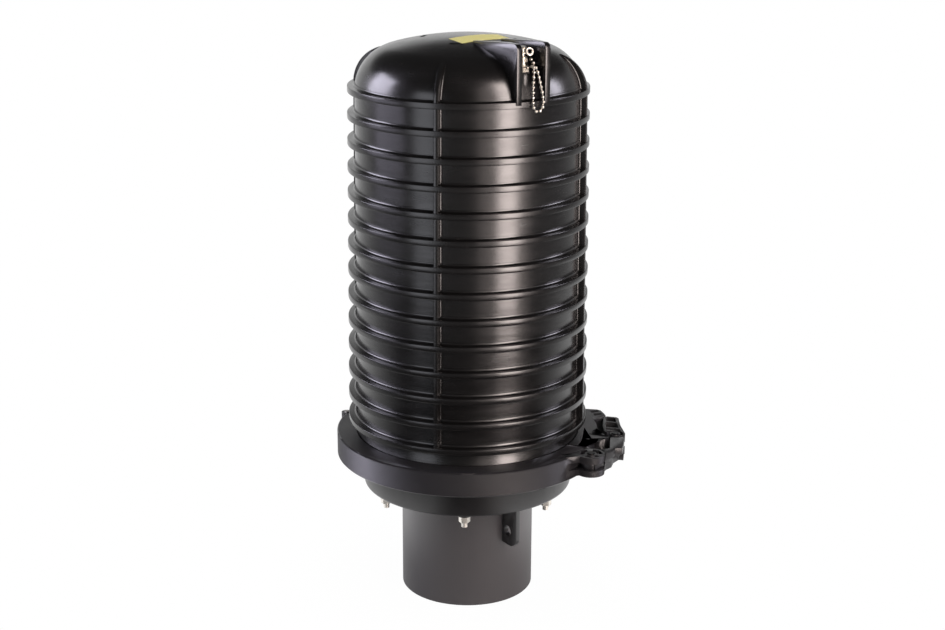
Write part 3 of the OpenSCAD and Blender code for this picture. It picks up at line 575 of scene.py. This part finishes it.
def node_group(name, inputs):
    """A tree with a geometry input and output and the named inputs."""
    tree = bpy.data.node_groups.new(name, "GeometryNodeTree")
    tree.interface.new_socket("Geometry", in_out="INPUT", socket_type="NodeSocketGeometry")
    tree.interface.new_socket("Geometry", in_out="OUTPUT", socket_type="NodeSocketGeometry")
    for label, kind, value in inputs:
        tree.interface.new_socket(label, in_out="INPUT", socket_type=kind).default_value = value
    return tree, tree.nodes.new("NodeGroupInput")


def close_group(tree, geometry):
    """Ends a tree in real geometry with a material, and returns the node that sets it."""
    real = add_node(tree, "GeometryNodeRealizeInstances", {"Geometry": geometry})
    painted = add_node(tree, "GeometryNodeSetMaterial", {"Geometry": real.outputs[0]})
    add_node(tree, "NodeGroupOutput", {0: painted.outputs[0]})
    return painted


def run_tree(obj, tree, values, painted, finish):
    """Runs a tree on the object with its inputs set, and keeps the plain result."""
    painted.inputs["Material"].default_value = material(finish)
    m = obj.modifiers.new(tree.name, "NODES")
    m.node_group = tree
    sockets = {item.name: item.identifier for item in tree.interface.items_tree if item.in_out == "INPUT"}
    for key, value in values.items():
        m[sockets[key]] = value
    return apply_modifiers(obj)


def stacked_tree(name):
    """Copies the incoming ring downwards, each copy a little wider than the one above."""
    tree, given = node_group(name, [
        ("Count", "NodeSocketInt", 14), ("Pitch", "NodeSocketFloat", 0.02),
        ("Growth", "NodeSocketFloat", 0.002)])
    step = add_node(tree, "ShaderNodeMath", {0: given.outputs["Pitch"], 1: -1.0}, operation="MULTIPLY")
    down = add_node(tree, "ShaderNodeCombineXYZ", {"Z": step.outputs[0]})
    line = add_node(tree, "GeometryNodeMeshLine", {
        "Count": given.outputs["Count"], "Offset": down.outputs[0]}, mode="OFFSET")
    index = add_node(tree, "GeometryNodeInputIndex")
    grow = add_node(tree, "ShaderNodeMath", {
        0: index.outputs[0], 1: given.outputs["Growth"], 2: 1.0}, operation="MULTIPLY_ADD")
    scale = add_node(tree, "ShaderNodeCombineXYZ", {"X": grow.outputs[0], "Y": grow.outputs[0], "Z": 1.0})
    copies = add_node(tree, "GeometryNodeInstanceOnPoints", {
        "Points": line.outputs["Mesh"], "Instance": given.outputs["Geometry"], "Scale": scale.outputs[0]})
    return tree, close_group(tree, copies.outputs[0])


def turned_tree(name):
    """Copies the incoming piece round the upright axis."""
    tree, given = node_group(name, [
        ("Count", "NodeSocketInt", 4), ("Turn", "NodeSocketFloat", math.pi / 2)])
    line = add_node(tree, "GeometryNodeMeshLine", {
        "Count": given.outputs["Count"], "Offset": (0, 0, 0)}, mode="OFFSET")
    index = add_node(tree, "GeometryNodeInputIndex")
    turn = add_node(tree, "ShaderNodeMath", {
        0: index.outputs[0], 1: given.outputs["Turn"]}, operation="MULTIPLY")
    spin = add_node(tree, "ShaderNodeCombineXYZ", {"Z": turn.outputs[0]})
    copies = add_node(tree, "GeometryNodeInstanceOnPoints", {
        "Points": line.outputs["Mesh"], "Instance": given.outputs["Geometry"], "Rotation": spin.outputs[0]})
    return tree, close_group(tree, copies.outputs[0])


def bead_tree(name):
    """Beads at an even pitch along the incoming curve, with a thin wire through them."""
    tree, given = node_group(name, [
        ("Pitch", "NodeSocketFloat", 0.004), ("Bead", "NodeSocketFloat", 0.0012),
        ("Link", "NodeSocketFloat", 0.0003)])
    even = add_node(tree, "GeometryNodeResampleCurve", {
        "Curve": given.outputs["Geometry"], "Length": given.outputs["Pitch"]}, mode="LENGTH")
    ball = add_node(tree, "GeometryNodeMeshUVSphere", {
        "Segments": 20, "Rings": 12, "Radius": given.outputs["Bead"]})
    beads = add_node(tree, "GeometryNodeInstanceOnPoints", {
        "Points": even.outputs[0], "Instance": ball.outputs["Mesh"]})
    wire = add_node(tree, "GeometryNodeCurvePrimitiveCircle", {
        "Resolution": 10, "Radius": given.outputs["Link"]})
    links = add_node(tree, "GeometryNodeCurveToMesh", {
        "Curve": even.outputs[0], "Profile Curve": wire.outputs["Curve"], "Fill Caps": True})
    both = tree.nodes.new("GeometryNodeJoinGeometry")
    tree.links.new(beads.outputs[0], both.inputs[0])
    tree.links.new(links.outputs[0], both.inputs[0])
    return tree, close_group(tree, both.outputs[0])


# ---------------------------------------------------------------- the dome

# details of the moulding, in millimetres
TOP_RIB_UP = 4  # from the shoulder's centre to the top of the first ring rib
BOSS_UP = 23  # from the shoulder's centre to the face that the valve stands on
BOSS_FROM = 4  # from the shoulder's centre to the boss's lower end
BOSS_R = 7.0
BOSS_FACE_R = 7.2
BOSS_CORE_FROM = 9  # above this the inside is filled round the boss
BOSS_CORE_R = 9.5
CLEAR_OF_DOME = 60  # from the shoulder's centre to well above the crown
FLANGE_H = 7.3
FLANGE_EDGE_H = 5.0
FLANGE_FILLET = ((1.6, -0.6), (0.5, 0.2), (0.0, 1.2))  # out from the wall, up from the flange's face
FLANGE_CLEAR = 2
SLOT_AT_R = 37
SLOT_LONG = 11
SLOT_OUTLINE = ((-2, -4), (2, -4), (2, 6), (-2, 6))
RIB_SUNK = 1.2  # how far a ring rib's root goes into the wall
RIB_PROUD = 0.05  # how far its fillets stand off the wall, so that faces don't lie on each other
RIB_EDGE = 0.35
RIB_FILLET_ABOVE = 1.9
RIB_FILLET_BELOW = 0.7
UPRIGHT_INSIDE = 0.4  # how far the upright ribs stay inside the ring ribs
UPRIGHT_FILLET = 1.5
UPRIGHT_HUB_UP = 1.5
UPRIGHT_STEPS = 28
UPRIGHT_TURN = 2.0  # degrees between the sections over the shoulder
UPRIGHT_GONE = 0.05
WEB_CORNER_R = 5
WEB_ROOT_R = 60  # inside the wall, where it is cut off
WEB_ROOT_DOWN = 12
WEB_SUNK = 0.6
WEB_INTO_WALL = 1.0
WEB_BEVEL_FROM = 50


def dome_places(s):
    """Heights and radii that follow from the sizes."""
    top_z = PARTING_Z + s.shoulder_up
    shoulder_at = s.dome_r - s.shoulder_r
    drop = math.sqrt((s.crown_r - s.shoulder_r) ** 2 - shoulder_at**2)
    crown_z = top_z - drop
    return SimpleNamespace(
        foot=DOME_LOW.z,
        top_z=top_z,
        shoulder_at=shoulder_at,
        crown_z=crown_z,
        crown_from=90 - math.degrees(math.atan2(shoulder_at, drop)),
        apex=crown_z + s.crown_r,
        rib_z=top_z + TOP_RIB_UP - s.rib_h,
    )


def wall_outline(s, d, inset, low):
    """The dome's section from a low edge to the apex, moved inwards by inset."""
    steps = 12
    side = []
    for k in range(steps):
        r = s.dome_foot_r - inset + (s.dome_r - s.dome_foot_r) * k / steps
        side.append((r, low + (d.top_z - low) * k / steps))
    shoulder = arc(d.shoulder_at, d.top_z, s.shoulder_r - inset, 0, d.crown_from, 20)
    crown = arc(0, d.crown_z, s.crown_r - inset, d.crown_from, 90, 10)[1:-1]
    return side + shoulder + crown + [(0, d.apex - inset)]


def inner_space(s, d, wall):
    """What a wall of the given thickness encloses, to cut with."""
    return lathe("hollow", [(0, d.foot - 1)] + wall_outline(s, d, wall, d.foot - 1))


def valve_post(s, r, low, high):
    """A round post where the valve stands."""
    x, y, _ = polar(s.valve_r, s.pocket_az, 0) / MM
    return lathe("post", [(0, low), (r, low), (r, high), (0, high)], 96, False, (x, y))


def dome_shell(s, d):
    """The hollow wall with its flange, the valve's boss and four shallow slots in the crown."""
    face = d.foot + FLANGE_H
    rim = [(0, d.foot), (DOME_HIGH.x, d.foot), (DOME_HIGH.x, d.foot + FLANGE_EDGE_H)]
    rim += [(s.dome_foot_r + out, face + up) for out, up in FLANGE_FILLET]
    wall = [p for p in wall_outline(s, d, 0, d.foot) if p[1] > face + FLANGE_CLEAR]
    shell = lathe("dome_shell", rim + wall)
    hollow = inner_space(s, d, s.dome_wall)
    boss_top, clear = d.top_z + BOSS_UP, d.top_z + CLEAR_OF_DOME
    cut(hollow, valve_post(s, BOSS_CORE_R, d.top_z + BOSS_CORE_FROM, clear))
    cut(shell, valve_post(s, BOSS_R, d.top_z + BOSS_FROM, boss_top), "UNION")
    cut(shell, hollow)
    cut(shell, valve_post(s, BOSS_FACE_R, boss_top, clear))
    for k in range(4):
        az = s.upright_az + 90 * k
        place = Matrix.Translation(polar(SLOT_AT_R, az, d.apex)) @ radial_place(az)
        cut(shell, plate("slot", SLOT_OUTLINE, SLOT_LONG, place))
    return shell


def ring_ribs(s, d):
    """The stack of ring ribs: a wide fillet above, a small one below, and a crisp outer edge."""
    root, wall = s.dome_r - RIB_SUNK, s.dome_r + RIB_PROUD
    e, above, below = RIB_EDGE, RIB_FILLET_ABOVE, RIB_FILLET_BELOW
    low, high = d.rib_z, d.rib_z + s.rib_h
    ring = [(root, low - below), (wall, low - below)]
    ring += arc(wall + below, low - below, below, 180, 90, 4)[1:]
    ring += arc(s.rib_r_top - e, low + e, e, -90, 0, 3)
    ring += arc(s.rib_r_top - e, high - e, e, 0, 90, 3)
    ring += arc(wall + above, high + above, above, 270, 180, 8)
    ring += [(root, high + above)]
    ribs = lathe("ring_ribs", [(r, z - low) for r, z in ring], RIB_SEGMENTS)
    tree, painted = stacked_tree("ring rib stack")
    grow = (s.rib_r_foot - s.rib_r_top) / (s.rib_count - 1) / s.rib_r_top
    values = {"Count": s.rib_count, "Pitch": s.rib_pitch * MM, "Growth": grow}
    run_tree(ribs, tree, values, painted, "dome")
    ribs.data.transform(Matrix.Translation((0, 0, low * MM)))
    return ribs


def upright_ribs(s, d):
    """Four upright ribs, just inside the ring ribs, which fade out over the shoulder."""
    top_r, foot_r = s.rib_r_top - UPRIGHT_INSIDE, s.rib_r_foot - UPRIGHT_INSIDE
    foot_z = d.rib_z - (s.rib_count - 1) * s.rib_pitch
    stations = []
    for k in range(UPRIGHT_STEPS + 1):
        z = foot_z + (d.top_z - foot_z) * k / UPRIGHT_STEPS
        part = (z - foot_z) / (d.top_z - foot_z)
        wall_r = s.dome_foot_r + (s.dome_r - s.dome_foot_r) * (z - d.foot) / (d.top_z - d.foot)
        stations.append((Vector((wall_r, z)), Vector((foot_r + (top_r - foot_r) * part, z))))
    centre = Vector((d.shoulder_at, d.top_z))
    away = centre - Vector((top_r - s.upright_round, d.top_z + UPRIGHT_HUB_UP))
    for k in range(1, 40):
        a = math.radians(UPRIGHT_TURN * k)
        way = Vector((math.cos(a), math.sin(a)))
        along = away.dot(way)
        reach = -along + math.sqrt(along**2 - away.length_squared + s.upright_round**2)
        if reach - s.shoulder_r < UPRIGHT_GONE:
            break
        stations.append((centre + way * s.shoulder_r, centre + way * reach))
    upright = lofted_rib("uprights", stations, s.upright_w, UPRIGHT_FILLET)
    tree, painted = turned_tree("upright ribs")
    run_tree(upright, tree, {"Count": 4, "Turn": math.pi / 2}, painted, "dome")
    upright.data.transform(Matrix.Rotation(math.radians(s.upright_az), 4, "Z"))
    return upright


def pocket_walls(s, d):
    """The two walls beside the valve."""
    foot_z = d.rib_z + s.rib_h / 2
    top_z = d.top_z + s.pocket_h
    outline = [(WEB_ROOT_R, foot_z), (s.rib_r_top, foot_z)]
    outline += arc(s.rib_r_top - WEB_CORNER_R, top_z - WEB_CORNER_R, WEB_CORNER_R, 0, 90, 8)
    outline += [(s.valve_r, top_z), (s.web_in_r, d.apex - WEB_SUNK), (s.web_in_r, d.apex - WEB_ROOT_DOWN)]
    walls = []
    for side in (-1, 1):
        place = radial_place(s.pocket_az, side * (s.pocket_w + s.pocket_wall) / 2)
        web = plate("web", outline, s.pocket_wall, place)
        cut(web, inner_space(s, d, s.dome_wall - WEB_INTO_WALL))
        walls.append(rounded(web, s.edge, angle=WEB_BEVEL_FROM))
    return walls


class CLOSURE_OT_dome(bpy.types.Operator):
    """Build the ribbed dome with its pocket walls and valve boss"""

    bl_idname = "closure.dome"
    bl_label = "Dome"

    def execute(self, context):
        s = sizes()
        d = dome_places(s)
        parts = [dome_shell(s, d), ring_ribs(s, d), upright_ribs(s, d), *pocket_walls(s, d)]
        dome = joined("dome_moulding", parts)
        finish_piece(dome, "closure", "dome", ("dome",))
        return {"FINISHED"}


# ---------------------------------------------------------------- the other pieces


class CLOSURE_OT_clamp(bpy.types.Operator):
    """Round the edges of the clamp halves and dress the hinge pin"""

    bl_idname = "closure.clamp"
    bl_label = "Clamp"

    def execute(self, context):
        s = sizes()
        softened("clamp_front", "clamp_front_half", s.edge, "clamp")
        softened("clamp_rear", "clamp_rear_half", s.edge, "clamp")
        dress("steel", "hinge_pin")
        return {"FINISHED"}


class CLOSURE_OT_latch(bpy.types.Operator):
    """Round the edges of the link and lever and dress their pins"""

    bl_idname = "closure.latch"
    bl_label = "Latch"

    def execute(self, context):
        s = sizes()
        softened("latch_link", "latch_link_arm", s.latch_edge, "clamp")
        softened("latch_lever", "latch_lever_arm", s.latch_edge, "clamp")
        dress("pin", "link_pin", "lever_pin")
        return {"FINISHED"}


class CLOSURE_OT_base(bpy.types.Operator):
    """Round the edges of the base and cable tube and dress the seals"""

    bl_idname = "closure.base"
    bl_label = "Base and tube"

    def execute(self, context):
        s = sizes()
        softened("base", "base_moulding", s.base_edge, "base", segments=3)
        softened("tube", "cable_tube", s.tube_edge, "tube")
        dress("rubber", "tube_gasket", "main_seal")
        return {"FINISHED"}


class CLOSURE_OT_fasteners(bpy.types.Operator):
    """Dress the tube bolts, nuts and washers"""

    bl_idname = "closure.fasteners"
    bl_label = "Fasteners"

    def execute(self, context):
        dress("steel", "tube_bolts", "tube_washers", "tube_nuts")
        return {"FINISHED"}


class CLOSURE_OT_valve(bpy.types.Operator):
    """Dress the test valve and its cap"""

    bl_idname = "closure.valve"
    bl_label = "Valve"

    def execute(self, context):
        dress("nickel", "valve_body", "valve_cap", "cap_ring", "valve_ring", "valve_nut")
        dress("steel", "valve_washer")
        dress("brass", "valve_core")
        dress("rubber", "valve_gasket", "cap_seal")
        return {"FINISHED"}


# the chain's route beside the valve: sideways, outwards and up from the valve's foot, in millimetres
CHAIN_ROUTE = (
    (2.2, 8.8, 11.2), (2.2, 12.2, 9), (0.8, 15, 2), (-0.6, 16.6, -4), (-1.5, 17.9, -11),
    (-1.8, 18.4, -18), (-1.6, 18.5, -23), (0.6, 18.5, -26.2), (3.6, 18.5, -26.9),
    (6.4, 18.5, -24.6), (7.3, 18.4, -20), (6.4, 18.2, -13), (5.2, 16.8, -5), (4.9, 14, 2),
    (4.4, 11.4, 6), (2, 11.2, 6.6), (-1.25, 8.95, 5.25),
)
# the clasp ring's place from the route's start, and how it is turned and tilted
CLASP_FROM_START = (-1.0, 1.0, 3.4)
CLASP_TURN = 20
CLASP_TILT = 72


class CLOSURE_OT_chain(bpy.types.Operator):
    """Build the bead chain and its clasp ring"""

    bl_idname = "closure.chain"
    bl_label = "Chain"

    def execute(self, context):
        s = sizes()
        foot = PARTING_Z + s.shoulder_up + BOSS_UP
        place = Matrix.Rotation(math.radians(s.pocket_az), 4, "Z")
        curve = bpy.data.curves.new("route", "CURVE")
        curve.dimensions = "3D"
        spline = curve.splines.new("POLY")
        spline.points.add(len(CHAIN_ROUTE) - 1)
        for p, (x, y, z) in zip(spline.points, CHAIN_ROUTE):
            p.co = (*(place @ Vector((x, -s.valve_r - y, foot + z)) * MM), 1)
        route = bpy.data.objects.new("bead_chain_strand", curve)
        bpy.context.scene.collection.objects.link(route)
        tree, painted = bead_tree("bead chain")
        values = {"Pitch": s.bead_pitch * MM, "Bead": s.bead_d / 2 * MM, "Link": s.link_r * MM}
        strand = run_tree(route, tree, values, painted, "nickel")
        # the clasp stands on the cap ring's tab, and the chain's first bead hangs in it
        clasp = lathe("clasp", arc(s.clasp_r, 0, s.clasp_wire, 0, 360, 12)[:-1], 40)
        x, y, z = CHAIN_ROUTE[0]
        dx, dy, dz = CLASP_FROM_START
        high = place @ Vector((x + dx, -s.valve_r - y + dy, foot + z + s.clasp_r + dz)) * MM
        clasp.data.transform(Matrix.Translation(high) @ Matrix.Rotation(math.radians(CLASP_TURN), 4, "Z")
                             @ Matrix.Rotation(math.radians(CLASP_TILT), 4, "X"))
        chain = joined("bead_chain_strand", [strand, clasp])
        finish_piece(chain, "closure", "nickel", ("bead_chain",), 60)
        return {"FINISHED"}


class CLOSURE_OT_film(bpy.types.Operator):
    """Dress the bare film on the dome"""

    bl_idname = "closure.film"
    bl_label = "Film"

    def execute(self, context):
        dress("film", "sticker")
        return {"FINISHED"}


class CLOSURE_OT_inside(bpy.types.Operator):
    """Dress the trays, frame, combs and clamps inside"""

    bl_idname = "closure.inside"
    bl_label = "Inside"

    def execute(self, context):
        dress("tray", "tray_1", "tray_2", "tray_3", "tray_4")
        dress("clear", "tray_cover")
        dress("sheet", "tray_frame", "cable_bar", "cable_clamps")
        dress("steel", "frame_screws", "bar_screws", "clamp_screws", "tray_pins")
        dress("comb", "splice_combs")
        dress("strap", "tray_strap")
        return {"FINISHED"}


# ---------------------------------------------------------------- stage

# the camera: place, tilt below level and roll in degrees, sensor width and focal length in millimetres
CAMERA_AT = (0.00382, -1.36271, 0.63927)
CAMERA_DOWN = 16.494
CAMERA_ROLL = 0.2312
CAMERA_SENSOR = 36.0
CAMERA_LENS = 65.825

# upright lamps: azimuth, distance, low and high edge, width in metres, brightness, colour
SOFT_BOXES = (
    ("right box", 39, 1.5, -0.30, 2.0, 0.50, 9.5, "fff0ea"),
    ("right box edge", 36, 1.55, -0.30, 1.7, 1.5, 0.9, "fff0ea"),
    ("left box", -42, 1.5, -0.10, 1.0, 0.60, 1.5, "f4f6ff"),
    ("left side box", -100, 1.5, 0.42, 1.30, 0.85, 7.5, "f0ecff"),
    ("right side box", 95, 1.5, 0.50, 1.15, 0.46, 8.5, "f6f2ff"),
    ("far left box", -84, 1.5, 0.05, 0.34, 1.0, 1.35, "eeeaff"),
)

# the surroundings in reflections: a lit backdrop behind, up to a low edge, and dimmer on the right
BACKDROP = {"From Min": 0.2, "From Max": 1.0, "To Min": 0.0, "To Max": 0.95}
BACKDROP_EDGE = {"From Min": 0.26, "From Max": 0.37, "To Min": 1.0, "To Max": 0.0}
BACKDROP_RIGHT = {"From Min": 0.1, "From Max": 0.4, "To Min": 1.0, "To Max": 0.55}
# a dark room in front and overhead, a little lighter below
ROOM = {"From Min": -0.3, "From Max": -0.05, "To Min": 0.22, "To Max": 0.05}
WORLD_DIFFUSE = 0.30

# the table's level in reflections is painted: a painted reflection that is dark in front and white behind,
# and a painted glow beside the closure that stands in for the side boxes' light
TABLE_R = 0.97
TABLE_UNDER = 0.0002  # metres below the tube's end
PAINTED_REFLECTION_BACK = {"From Min": -0.25, "From Max": 0.25, "To Min": 0.02, "To Max": 1.0}
PAINTED_GLOW_NEAR = {"From Min": 0.18, "From Max": 0.34, "To Min": 1.9, "To Max": 0.0}
PAINTED_GLOW_ASIDE = {"From Min": 0.07, "From Max": 0.15, "To Min": 0.0, "To Max": 1.0}
# how much of the table is plain white to the eye: less close to the closure, where its shadow shows
TABLE_WHITE = {"From Min": 0.06, "From Max": 0.17, "To Min": 0.98, "To Max": 1.0}


def seen_plainly(t, path):
    """1 for what is seen straight on or through glass."""
    return add_node(t, "ShaderNodeMath", {
        0: path.outputs["Is Camera Ray"], 1: path.outputs["Is Transmission Ray"]}, operation="MAXIMUM")


def background_level(t, mirrored, diffuse):
    """White where it is seen plainly, its own level in reflections, and an even light otherwise."""
    path = add_node(t, "ShaderNodeLightPath")
    seen = seen_plainly(t, path)
    gloss = add_node(t, "ShaderNodeMix", {0: path.outputs["Is Glossy Ray"], 2: diffuse, 3: mirrored})
    return add_node(t, "ShaderNodeMix", {0: seen.outputs[0], 2: gloss.outputs[0], 3: 1.0}).outputs[0]


def place_camera(scene):
    cam = bpy.data.objects.new("camera", bpy.data.cameras.new("camera"))
    scene.collection.objects.link(cam)
    cam.data.sensor_width = CAMERA_SENSOR
    cam.data.lens = CAMERA_LENS
    cam.data.clip_start = 0.05
    cam.data.clip_end = 50
    cam.matrix_world = (Matrix.Translation(CAMERA_AT)
                        @ Matrix.Rotation(math.radians(90 - CAMERA_DOWN), 4, "X")
                        @ Matrix.Rotation(math.radians(CAMERA_ROLL), 4, "Z"))
    scene.camera = cam


def soft_box(scene, name, az, dist, low, high, width, radiance, hex_colour):
    """A lamp of even brightness that stands upright and faces the closure."""
    data = bpy.data.lights.new(name, "AREA")
    data.shape = "RECTANGLE"
    data.size = width
    data.size_y = high - low
    data.energy = radiance * math.pi * width * (high - low)
    data.color = linear(hex_colour)[:3]
    obj = bpy.data.objects.new(name, data)
    scene.collection.objects.link(obj)
    obj.location = polar(dist / MM, az, (low + high) / 2 / MM)
    obj.rotation_euler = (math.radians(90), 0, math.radians(az))
    obj.visible_camera = False


def set_surroundings(scene):
    world = bpy.data.worlds.new("surroundings")
    scene.world = world
    world.use_nodes = True
    t = world.node_tree
    t.nodes.clear()
    coords = add_node(t, "ShaderNodeTexCoord")
    way = add_node(t, "ShaderNodeSeparateXYZ", {0: coords.outputs["Generated"]})
    back = add_node(t, "ShaderNodeMapRange", {"Value": way.outputs["Y"], **BACKDROP})
    edge = add_node(t, "ShaderNodeMapRange", {"Value": way.outputs["Z"], **BACKDROP_EDGE})
    right = add_node(t, "ShaderNodeMapRange", {"Value": way.outputs["X"], **BACKDROP_RIGHT})
    room = add_node(t, "ShaderNodeMapRange", {"Value": way.outputs["Z"], **ROOM})
    panel = add_node(t, "ShaderNodeMath", {0: back.outputs[0], 1: edge.outputs[0]}, operation="MULTIPLY")
    mirrored = add_node(t, "ShaderNodeMath", {
        0: panel.outputs[0], 1: right.outputs[0], 2: room.outputs[0]}, operation="MULTIPLY_ADD")
    level = background_level(t, mirrored.outputs[0], WORLD_DIFFUSE)
    sky = add_node(t, "ShaderNodeBackground", {"Color": (1, 1, 1, 1), "Strength": level})
    add_node(t, "ShaderNodeOutputWorld", {"Surface": sky.outputs[0]})


def table_material():
    """A white table that keeps the closure's shadow, with a painted reflection that is dark in front and
    white behind, and a painted glow beside the closure.
    """
    m, t = start_material("white table")
    coords = add_node(t, "ShaderNodeTexCoord")
    where = add_node(t, "ShaderNodeSeparateXYZ", {0: coords.outputs["Object"]})
    far = add_node(t, "ShaderNodeVectorMath", {0: coords.outputs["Object"]}, operation="LENGTH")
    off = add_node(t, "ShaderNodeMath", {0: where.outputs["X"]}, operation="ABSOLUTE")
    # painted reflection on the table: dark in front and white behind, plus a painted glow beside the closure
    # in place of the side boxes' light
    back = add_node(t, "ShaderNodeMapRange", {"Value": where.outputs["Y"], **PAINTED_REFLECTION_BACK})
    near = add_node(t, "ShaderNodeMapRange", {"Value": far.outputs["Value"], **PAINTED_GLOW_NEAR})
    aside = add_node(t, "ShaderNodeMapRange", {"Value": off.outputs[0], **PAINTED_GLOW_ASIDE})
    beside = add_node(t, "ShaderNodeMath", {0: near.outputs[0], 1: aside.outputs[0]}, operation="MULTIPLY")
    mirrored = add_node(t, "ShaderNodeMath", {0: back.outputs[0], 1: beside.outputs[0]}, operation="MAXIMUM")
    lit = add_node(t, "ShaderNodeBsdfDiffuse", {"Color": (0.8, 0.8, 0.8, 1)})
    bright = add_node(t, "ShaderNodeEmission", {
        "Color": (1, 1, 1, 1), "Strength": background_level(t, mirrored.outputs[0], 0.0)})
    path = add_node(t, "ShaderNodeLightPath")
    plain = seen_plainly(t, path)
    seen = add_node(t, "ShaderNodeMath", {
        0: plain.outputs[0], 1: path.outputs["Is Glossy Ray"]}, operation="MAXIMUM")
    white = add_node(t, "ShaderNodeMapRange", {"Value": far.outputs["Value"], **TABLE_WHITE})
    part = add_node(t, "ShaderNodeMath", {0: seen.outputs[0], 1: white.outputs[0]}, operation="MULTIPLY")
    return end_material(m, add_node(t, "ShaderNodeMixShader", {
        0: part.outputs[0], 1: lit.outputs[0], 2: bright.outputs[0]}))


def lay_table():
    bm = bmesh.new()
    bmesh.ops.create_circle(bm, cap_ends=True, segments=96, radius=TABLE_R)
    floor = new_piece("floor", bm)
    floor.location.z = CAD_LOW.z - TABLE_UNDER
    floor.data.materials.append(table_material())


class CLOSURE_OT_stage(bpy.types.Operator):
    """Set the camera, soft boxes, table and surroundings"""

    bl_idname = "closure.stage"
    bl_label = "Stage"

    def execute(self, context):
        scene = context.scene
        scene.view_settings.view_transform = "Standard"
        place_camera(scene)
        for box in SOFT_BOXES:
            soft_box(scene, *box)
        set_surroundings(scene)
        lay_table()
        return {"FINISHED"}


# ---------------------------------------------------------------- panel and registration


class CLOSURE_PT_panel(bpy.types.Panel):
    """Sizes, colours and pieces of the closure."""

    bl_idname = "CLOSURE_PT_panel"
    bl_label = "Dome splice closure"
    bl_space_type = "VIEW_3D"
    bl_region_type = "UI"
    bl_category = "Closure"

    def draw(self, context):
        for group in (context.scene.closure_sizes, context.scene.closure_colours):
            for key in own_keys(group):
                self.layout.prop(group, key)
        for op in OPERATORS:
            self.layout.operator(op.bl_idname)


OPERATORS = (
    CLOSURE_OT_stage,
    CLOSURE_OT_dome,
    CLOSURE_OT_clamp,
    CLOSURE_OT_latch,
    CLOSURE_OT_base,
    CLOSURE_OT_fasteners,
    CLOSURE_OT_valve,
    CLOSURE_OT_chain,
    CLOSURE_OT_film,
    CLOSURE_OT_inside,
)
CLASSES = (ClosureSizes, ClosureColours, *OPERATORS, CLOSURE_PT_panel)


def register():
    for c in CLASSES:
        bpy.utils.register_class(c)
    bpy.types.Scene.closure_sizes = PointerProperty(type=ClosureSizes)
    bpy.types.Scene.closure_colours = PointerProperty(type=ClosureColours)


def unregister():
    del bpy.types.Scene.closure_colours
    del bpy.types.Scene.closure_sizes
    for c in reversed(CLASSES):
        bpy.utils.unregister_class(c)


def main():
    register()
    for op in OPERATORS:
        getattr(bpy.ops.closure, op.bl_idname.split(".")[1])()


if __name__ == "__main__":
    main()
